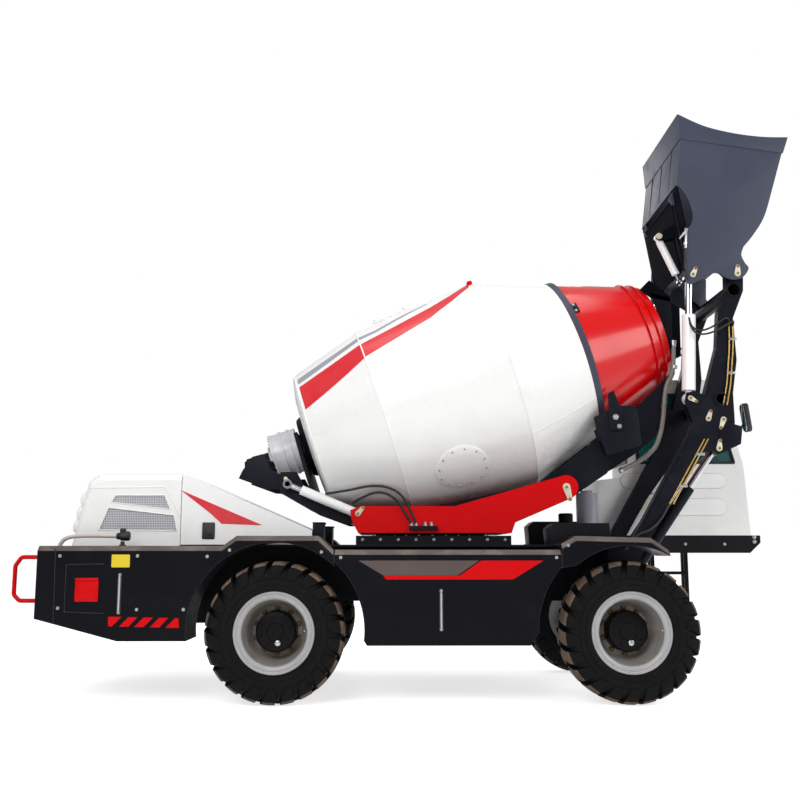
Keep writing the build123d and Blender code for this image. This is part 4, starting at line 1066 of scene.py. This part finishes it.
# short hoses at the arm's joints: radius, then x, share of the outward bow and z
HOSE_LOOPS = {
    "tilt_loop_{}_a": (9, ((2836, 0, 3296), (2846, 0, 3360), (2800, 1, 3380), (2690, 1, 3290),
                           (2560, 1, 3240), (2474, 0.6, 3290), (2470, 0, 3380))),
    "tilt_loop_{}_b": (9, ((2870, 0, 3296), (2890, 0, 3350), (2840, 1.6, 3330), (2700, 1.6, 3240),
                           (2570, 1.4, 3205), (2490, 1, 3240), (2476, 0, 3330))),
    "arm_loop_{}": (10, ((2215, 0, 1664), (2180, 0, 1600), (2110, 1, 1500), (2010, 1, 1420), (1920, 1, 1400),
                         (1860, 0.4, 1330))),
}
ARM_PLATES = (((2771, 2407), (2915, 2365), (2892, 2205), (2729, 2128), (2700, 2309)),
              ((1850, 1230), (1925, 1200), (2262, 1760), (2580, 2195), (2420, 2230), (2180, 1830)))
BOOM_PINS = ((2607, 2438, 20, 74, 50), (2693, 2165, 10, 70, 56), (2745, 2430, 200, 80, 52),
             (2452, 2627, 120, 60, 46))
BUCKET_PINS = ((2919, 3783, 5, 70, 58), (2505, 3772, 25, 66, 54))


class MIXER_OT_loader(Operator):
    """Bucket plates, steel lines, hoses, pins and edges of the loader"""

    bl_idname = "mixer.loader"
    bl_label = "Loader"

    def bucket(self):
        """Curved cheeks, back, floor and lower walls over the plain solid."""
        cheek = (flowing(BUCKET_TOP) + flowing(BUCKET_FLOOR) + flowing(BUCKET_HEEL) + flowing(BUCKET_FOOT)
                 + flowing(BUCKET_NOTCH) + list(BUCKET_BACK))
        under = flowing(BUCKET_FLOOR) + [(2985, 4035), (2510, 3905)]
        inner = [(x - 18, z + 5) for x, z in under[:-1]] + [(2510, 3923)]
        bm = bmesh.new()
        prism(bm, cheek, CHEEK_OUT[0], CHEEK_IN[0])
        prism(bm, cheek, CHEEK_IN[1], CHEEK_OUT[1])
        prism(bm, BACK_PLATE, *CHEEK_IN)
        prism(bm, under + inner[::-1], *CHEEK_IN)
        for y, out in ((-585, -1), (445, 1)):
            ear = y - out * 67
            prism(bm, BUCKET_EAR, ear - 12, ear + 12)
            bar(bm, (2919, ear, 3783), (2919, y + out * 110, 3783), 30, 24)
            for lug in (-45, 45):
                prism(bm, DUMP_LUG, y + lug - 9, y + lug + 9)
        for low, high in ((-560, -531), (391, 420)):
            prism(bm, GATE_EAR, low, high)
        plates = piece("bucket_plates", bm, "slate", "bucket", "bucket", 2)
        # the lower walls wear the dark gate enamel as painted shade
        walls = build("bucket_lower_walls", "gate", "bucket", "bucket", (prism, LOWER_WALL, -689, -531),
                      (prism, LOWER_WALL, 391, 549), bevel=2)
        for part in (plates, walls):
            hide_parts("bucket")
        # raised lip round the mouth, with a hose union on the right cheek
        mouth = flowing(BUCKET_TOP) + [(3468, 5118), (3412, 4958), (2453, 5096)]
        build("bucket_lip", "slate", "bucket", "bucket", (prism, mouth, -716, -709), (prism, mouth, 569, 576),
              (prism, ((2426, 5344), (2434, 5344), (2452, 5104), (2444, 5098)), -716, 576), bevel=2)
        rib = ((2441, 5090), (2449, 5090), (2400, 4680), (2392, 4680))
        build("bucket_back_ribs", "slate", "bucket", "bucket",
              *[(prism, rib, y - 5, y + 5) for y in (-420, -70, 280)], bevel=2)
        build("bucket_hose_union", "zinc", "bucket", "bucket",
              (bar, (2458, UNION_Y, 4200), (2444, UNION_Y, 4020), 13, 14),
              (bar, (2456, UNION_Y, 4190), (2392, UNION_Y, 4112), 9, 12),
              (lathe, ((0, 18), (26, 18), (30, 12)), (2448, UNION_Y, 4080), (-0.08, 0, -1), 6),
              (box, 2446, 2470, -735, -709, 4186, 4214), bevel=1.5)
        pipe("bucket_hose",
             ((2444, UNION_Y, 4024), (2434, -724, 3930), (2430, UNION_Y, 3820), (2452, -718, 3726)), 10,
             "hose", "bucket")

    def execute(self, context):
        self.bucket()
        r = sizes().line
        for word, face, side in (("right", -635, -1), ("left", 495, 1)):
            y = face + side * (r + 4)
            normal = (0, side, 0)
            for i, shift in enumerate((0, 34)):
                for name, route in STEEL_LINES.items():
                    shifted = [(x + shift, y, z) for x, z in route]
                    pipe(f"{name}_{word}_{i}", shifted, r, "yellow_zinc", "boom")
            low, high = sorted((face - side * 1, face + side * 22))
            build(f"line_clips_{word}", "zinc", "boom", "boom",
                  *[(box, x - 22, x + 54, low, high, z - 12, z + 12)
                    for x, z in ((2850, 3180), (2822, 2860), (2500, 2112), (2330, 1824))], bevel=2)
            low, high = sorted((face - side * 1, face + side * 10))
            build(f"arm_plates_{word}", "boom", "boom", "boom",
                  *[(prism, outline, low, high) for outline in ARM_PLATES],
                  *[(bolt, (x, face + side * 10, z), normal, 10, 7)
                    for x, z in ((2336, 2100), (2220, 1887), (2060, 1600))], bevel=3)
            pins = [((x, face, z), normal, *shape) for x, z, *shape in BOOM_PINS]
            keepers("boom", "boom", "boom", pins, f"_{word}")
            bow = side * 30
            for name, (radius, route) in HOSE_LOOPS.items():
                bowed = [(x, y + bow * share, z) for x, share, z in route]
                pipe(name.format(word), bowed, radius, "hose", "boom")
        # bucket pins and sill
        pins = [((x, face, z), (0, side, 0), *shape)
                for face, side in zip(CHEEK_OUT, (-1, 1)) for x, z, *shape in BUCKET_PINS]
        keepers("bucket", "bucket", "bucket", pins)
        # thick barrel and pin of the gate cylinder
        build("gate_cylinder_tube", "white", "gate_barrel", "gate_barrel",
              (lathe, ((30, 22), (36, 35), (376, 35), (380, 37), (398, 37), (402, 20)), (2268, -440, 4213),
               (194, 0, -439), 32))
        build("gate_pin_collar", "cream", "gate", "gate",
              (lathe, ((0, 30), (8, 30), (8, 17), (18, 15), (18, 0)), (2268, -494, 4213), (0, -1, 0), 24))
        build("bucket_sill", "slate", "bucket", "bucket", (box, 2520, 2560, *CHEEK_IN, 4010, 4030), bevel=3)
        return {"FINISHED"}


CAB_IN, CAB_OUT = 545, 1285
# corners of the panes, with the door's last
PANES = (
    ((2240, CAB_IN, 2140), (3241, CAB_IN, 2140), (3056, CAB_IN, 2850), (2240, CAB_IN, 2850)),
    ((2950, CAB_OUT, 2140), (3241, CAB_OUT, 2140), (3056, CAB_OUT, 2850), (2950, CAB_OUT, 2850)),
    ((3314, 600, 2190), (3314, 1230, 2190), (3137, 1230, 2850), (3137, 600, 2850)),
    ((2150, 620, 2150), (2150, 1210, 2150), (2150, 1210, 2830), (2150, 620, 2830)),
    ((2316, CAB_OUT, 2120), (2816, CAB_OUT, 2120), (2816, CAB_OUT, 2796), (2316, CAB_OUT, 2796)),
)
RING_STEPS, RING_SIDES = 40, 10


class MIXER_OT_cab(Operator):
    """Seat, controls, seals, pressings, mirror and handles of the cab"""

    bl_idname = "mixer.cab"
    bl_label = "Cab"

    def cushion(self, name, low, high, tilt, pivot):
        """Crowned cushion with a welted seam and two sewn channels."""
        bm = bmesh.new()
        bmesh.ops.create_grid(bm, x_segments=18, y_segments=18, size=0.5)
        for vert in bm.verts:
            u = vert.co.x * 2
            v = vert.co.y * 2
            crown = (1 - abs(u) ** 4) * (1 - abs(v) ** 4)
            channel = max(0.0, 1 - abs(abs(v) - 0.45) / 0.08) * 0.16
            pull = 1 - 0.05 * (1 - abs(u)) if abs(v) > 0.95 else 1.0
            vert.co = Vector(((low[0] + high[0]) / 2 + u * pull * (high[0] - low[0]) / 2,
                              (low[1] + high[1]) / 2 + v * (high[1] - low[1]) / 2,
                              low[2] + (high[2] - low[2]) * (0.55 + (0.45 - channel) * crown))) * MM
        edge = [e for e in bm.edges if len(e.link_faces) == 1]
        made = bmesh.ops.extrude_edge_only(bm, edges=edge)
        for vert in [g for g in made["geom"] if isinstance(g, bmesh.types.BMVert)]:
            vert.co.z = low[2] * MM
        bottom = [e for e in bm.edges if len(e.link_faces) == 1]
        bmesh.ops.contextual_create(bm, geom=bottom)
        bmesh.ops.rotate(bm, verts=bm.verts[:], cent=mm(pivot),
                         matrix=Matrix.Rotation(math.radians(tilt), 3, "Y"))
        made = piece(name, bm, "vinyl", "chassis", "cab_interior", sharp=60)
        swell = made.modifiers.new("Swell", "SUBSURF")
        swell.levels = 1
        swell.render_levels = 1
        return made

    def steering(self):
        """Steering wheel with a round rim, three spokes, a boss and its column."""
        bm = bmesh.new()
        centre = Vector((2900, 915, 2190))
        axis, first, second = basis((-0.866, 0, 0.5))
        rings = []
        for c, s in circle(RING_STEPS):
            out = first * c + second * s
            rings.append([bm.verts.new((centre + out * (188 + 15 * across) + axis * 15 * along) * MM)
                          for across, along in circle(RING_SIDES)])
        for i, ring in enumerate(rings):
            after = rings[(i + 1) % RING_STEPS]
            for k in range(RING_SIDES):
                j = (k + 1) % RING_SIDES
                bm.faces.new((ring[k], after[k], after[j], ring[j]))
        for turn in (90, 210, 330):
            a = math.radians(turn)
            out = first * math.cos(a) + second * math.sin(a)
            bar(bm, centre - axis * 6, centre + out * 182, 11, 10)
        lathe(bm, ((-12, 44), (6, 42), (14, 30), (14, 0)), centre, axis, 24)
        bar(bm, centre, (3008, 915, 2032), 24, 16)
        return piece("steering_wheel", bm, "plastic", "chassis", "cab_interior")

    def execute(self, context):
        shell = ("chassis", "cab_shell")
        seat = self.cushion("seat_cushion", (2322, 672, 1770), (2738, 1158, 1880), 0, (0, 0, 0))
        back = self.cushion("seat_back", (1880, 692, 2245), (2415, 1138, 2330), 87, (2245, 915, 2245))
        hood = ((2962, 1990), (3158, 1990), (3158, 2030), (3080, 2048), (2962, 2020))
        fittings = build("dash_and_seat_base", "plastic", "chassis", "cab_interior",
                         (box, 2332, 2678, 692, 1138, 1444, 1768), (box, 2962, 3158, 642, 1188, 1444, 1990),
                         (prism, hood, 642, 1188), bevel=8)
        wheel = self.steering()
        for part in (seat, back, fittings, wheel):
            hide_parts("cab_interior")
        # rubber seals round the panes
        for name, panes, body, slot in (("window_seals", PANES[:-1], *shell),
                                        ("door_seal", PANES[-1:], "door", "cab_door")):
            build(name, "hose", body, slot,
                  *[(bar, a, b, 12, 8) for pane in panes for a, b in zip(pane, pane[1:] + pane[:1])])
        # stiffening pressings on the right wall, outlined by grey lines of painted shade at their edges
        bm = bmesh.new()
        line = bmesh.new()
        for z, height in ((1956, 150), (1689, 168)):
            edge = rounded(1076, height, height / 2 - 1, 10)
            plate(bm, edge, (2602, CAB_IN, z), (0, -1, 0), 7)
            ends = [(2602 + a, CAB_IN - 1.5, z + b) for a, b in edge]
            for a, b in zip(ends, ends[1:] + ends[:1]):
                bar(line, a, b, 3.5, 6)
        piece("cab_pressings", bm, "white", *shell, 5)
        piece("cab_pressing_edges", line, "grey", *shell)
        build("door_handle", "plastic", "door", "cab_door",
              (plate, rounded(150, 44, 18), (2800, CAB_OUT, 2040), (0, 1, 0), 14),
              (bar, (2740, 1299, 2040), (2850, 1305, 2040), 9, 12), bevel=3)
        build("lamp_post", "plastic", *shell, (bar, (2960, 1264, 2890), (2960, 1290, 2890), 12))
        # mirrors on both front posts
        bm = bmesh.new()
        glass = bmesh.new()
        for y in (640, 1190):
            bar(bm, (3262, y, 2400), (3396, y, 2560), 10, 10)
            plate(bm, rounded(130, 300, 46), (3400, y, 2620), (1, 0, 0.12), 46)
            plate(glass, rounded(112, 280, 40), (3396, y, 2620), (-1, 0, -0.12), 6)
        piece("mirror_housings", bm, "plastic", *shell, 6)
        piece("mirror_glasses", glass, "mirror", *shell)
        # wiper, door stop and platform bolts
        build("wiper", "plastic", *shell, (bar, (3322, 900, 2170), (3226, 700, 2560), 7, 8),
              (bar, (3256, 640, 2440), (3206, 760, 2640), 6, 8))
        build("door_stop", "zinc", *shell, (bar, (2222, CAB_OUT, 1560), (2222, 1298, 1560), 10))
        build("platform_bolts", "zinc", "chassis", "cab_platform",
              *[(bolt, (3405, CAB_IN, z), (0, -1, 0), 13, 10) for z in (1386, 1340)],
              *[(bolt, (x, CAB_IN, 1316), (0, -1, 0), 10, 8) for x in (1900, 2300, 2700, 3100)])
        return {"FINISHED"}


class MIXER_OT_stage(Operator):
    """Pale floor, soft light and the camera of the reference view"""

    bl_idname = "mixer.stage"
    bl_label = "Stage"

    def lamp(self, name, place, target, size, power):
        """Large soft box pointed at a spot."""
        light = bpy.data.lights.new(name, "AREA")
        light.shape = "RECTANGLE"
        light.size, light.size_y = size
        light.energy = power
        lamp = bpy.data.objects.new(name, light)
        lamp.location = place
        lamp.rotation_euler = (Vector(target) - Vector(place)).to_track_quat("-Z", "Y").to_euler()
        bpy.context.scene.collection.objects.link(lamp)

    def execute(self, context):
        scene = context.scene
        pale = linear(scene.mixer_colours.floor)
        material, tree, output = fresh("Pale studio floor")
        rays = add(tree, "ShaderNodeLightPath")
        glossy = add(tree, "ShaderNodeMath", {"operation": "MAXIMUM"},
                     {0: rays.outputs["Is Camera Ray"], 1: rays.outputs["Is Glossy Ray"]})
        seen = add(tree, "ShaderNodeMath", {"operation": "MAXIMUM"},
                   {0: glossy.outputs[0], 1: rays.outputs["Is Transmission Ray"]})
        matt = add(tree, "ShaderNodeBsdfDiffuse", {"Color": (0.86, 0.86, 0.86, 1.0)})
        lift = add(tree, "ShaderNodeEmission", {"Color": pale, "Strength": 0.72})
        both = add(tree, "ShaderNodeAddShader", {}, {0: matt.outputs[0], 1: lift.outputs[0]})
        mixed = add(tree, "ShaderNodeMixShader", {},
                    {0: seen.outputs[0], 1: matt.outputs[0], 2: both.outputs[0]})
        tree.links.new(mixed.outputs[0], output.inputs["Surface"])
        mesh = bpy.data.meshes.new("studio_floor")
        bm = bmesh.new()
        bmesh.ops.create_circle(bm, cap_ends=True, segments=64, radius=60)
        bm.to_mesh(mesh)
        bm.free()
        mesh.materials.append(material)
        floor = bpy.data.objects.new("studio_floor", mesh)
        scene.collection.objects.link(floor)
        world = bpy.data.worlds.new("studio")
        world.use_nodes = True
        tree = world.node_tree
        tree.nodes.clear()
        rays = add(tree, "ShaderNodeLightPath")
        seen = add(tree, "ShaderNodeMath", {"operation": "MAXIMUM"},
                   {0: rays.outputs["Is Camera Ray"], 1: rays.outputs["Is Transmission Ray"]})
        soft = add(tree, "ShaderNodeBackground", {"Color": (1, 1, 1, 1), "Strength": 0.42})
        plain = add(tree, "ShaderNodeBackground", {"Color": pale, "Strength": 1.0})
        mixed = add(tree, "ShaderNodeMixShader", {},
                    {0: seen.outputs[0], 1: soft.outputs[0], 2: plain.outputs[0]})
        add(tree, "ShaderNodeOutputWorld", {}, {"Surface": mixed.outputs[0]})
        scene.world = world
        self.lamp("key_box", (-3.5, -10.0, 7.0), (0.2, 0, 1.8), (6, 4), 560)
        self.lamp("top_box", (0.5, -1.0, 10.5), (0.2, 0, 2.0), (8, 5), 330)
        self.lamp("front_box", (8.5, -5.0, 5.0), (1.5, 0, 2.0), (4, 4), 260)
        self.lamp("back_box", (0.0, 9.0, 7.0), (0.0, 0, 2.0), (7, 4), 200)
        camera = bpy.data.cameras.new("reference_camera")
        camera.lens = 44.1
        camera.sensor_width = 36
        camera.clip_end = 200
        eye = bpy.data.objects.new("reference_camera", camera)
        eye.location = (-0.295, -9.465, 1.227)
        eye.rotation_euler = (math.radians(90 + 8.87), 0, math.radians(-0.585))
        scene.collection.objects.link(eye)
        scene.camera = eye
        scene.view_settings.view_transform = "Standard"
        return {"FINISHED"}


class MIXER_PT_looks(Panel):
    """Sidebar list of the mixer's dressing steps"""

    bl_label = "Mixer looks"
    bl_space_type = "VIEW_3D"
    bl_region_type = "UI"
    bl_category = "Mixer"

    def draw(self, context):
        for step in STEPS:
            self.layout.operator(step.bl_idname)
        for group in (context.scene.mixer_sizes, context.scene.mixer_colours):
            for key in group.__annotations__:
                self.layout.prop(group, key)


STEPS = (MIXER_OT_finishes, MIXER_OT_wheels, MIXER_OT_hood, MIXER_OT_sides, MIXER_OT_drum,
         MIXER_OT_frame_fittings, MIXER_OT_loader, MIXER_OT_cab, MIXER_OT_stage)
CLASSES = (MixerSizes, MixerColours) + STEPS + (MIXER_PT_looks,)


def register():
    for cls in CLASSES:
        bpy.utils.register_class(cls)
    bpy.types.Scene.mixer_sizes = PointerProperty(type=MixerSizes)
    bpy.types.Scene.mixer_colours = PointerProperty(type=MixerColours)


def unregister():
    del bpy.types.Scene.mixer_colours
    del bpy.types.Scene.mixer_sizes
    for cls in reversed(CLASSES):
        bpy.utils.unregister_class(cls)


def main():
    register()
    for step in STEPS:
        group, name = step.bl_idname.split(".")
        getattr(getattr(bpy.ops, group), name)()


if __name__ == "__main__":
    main()
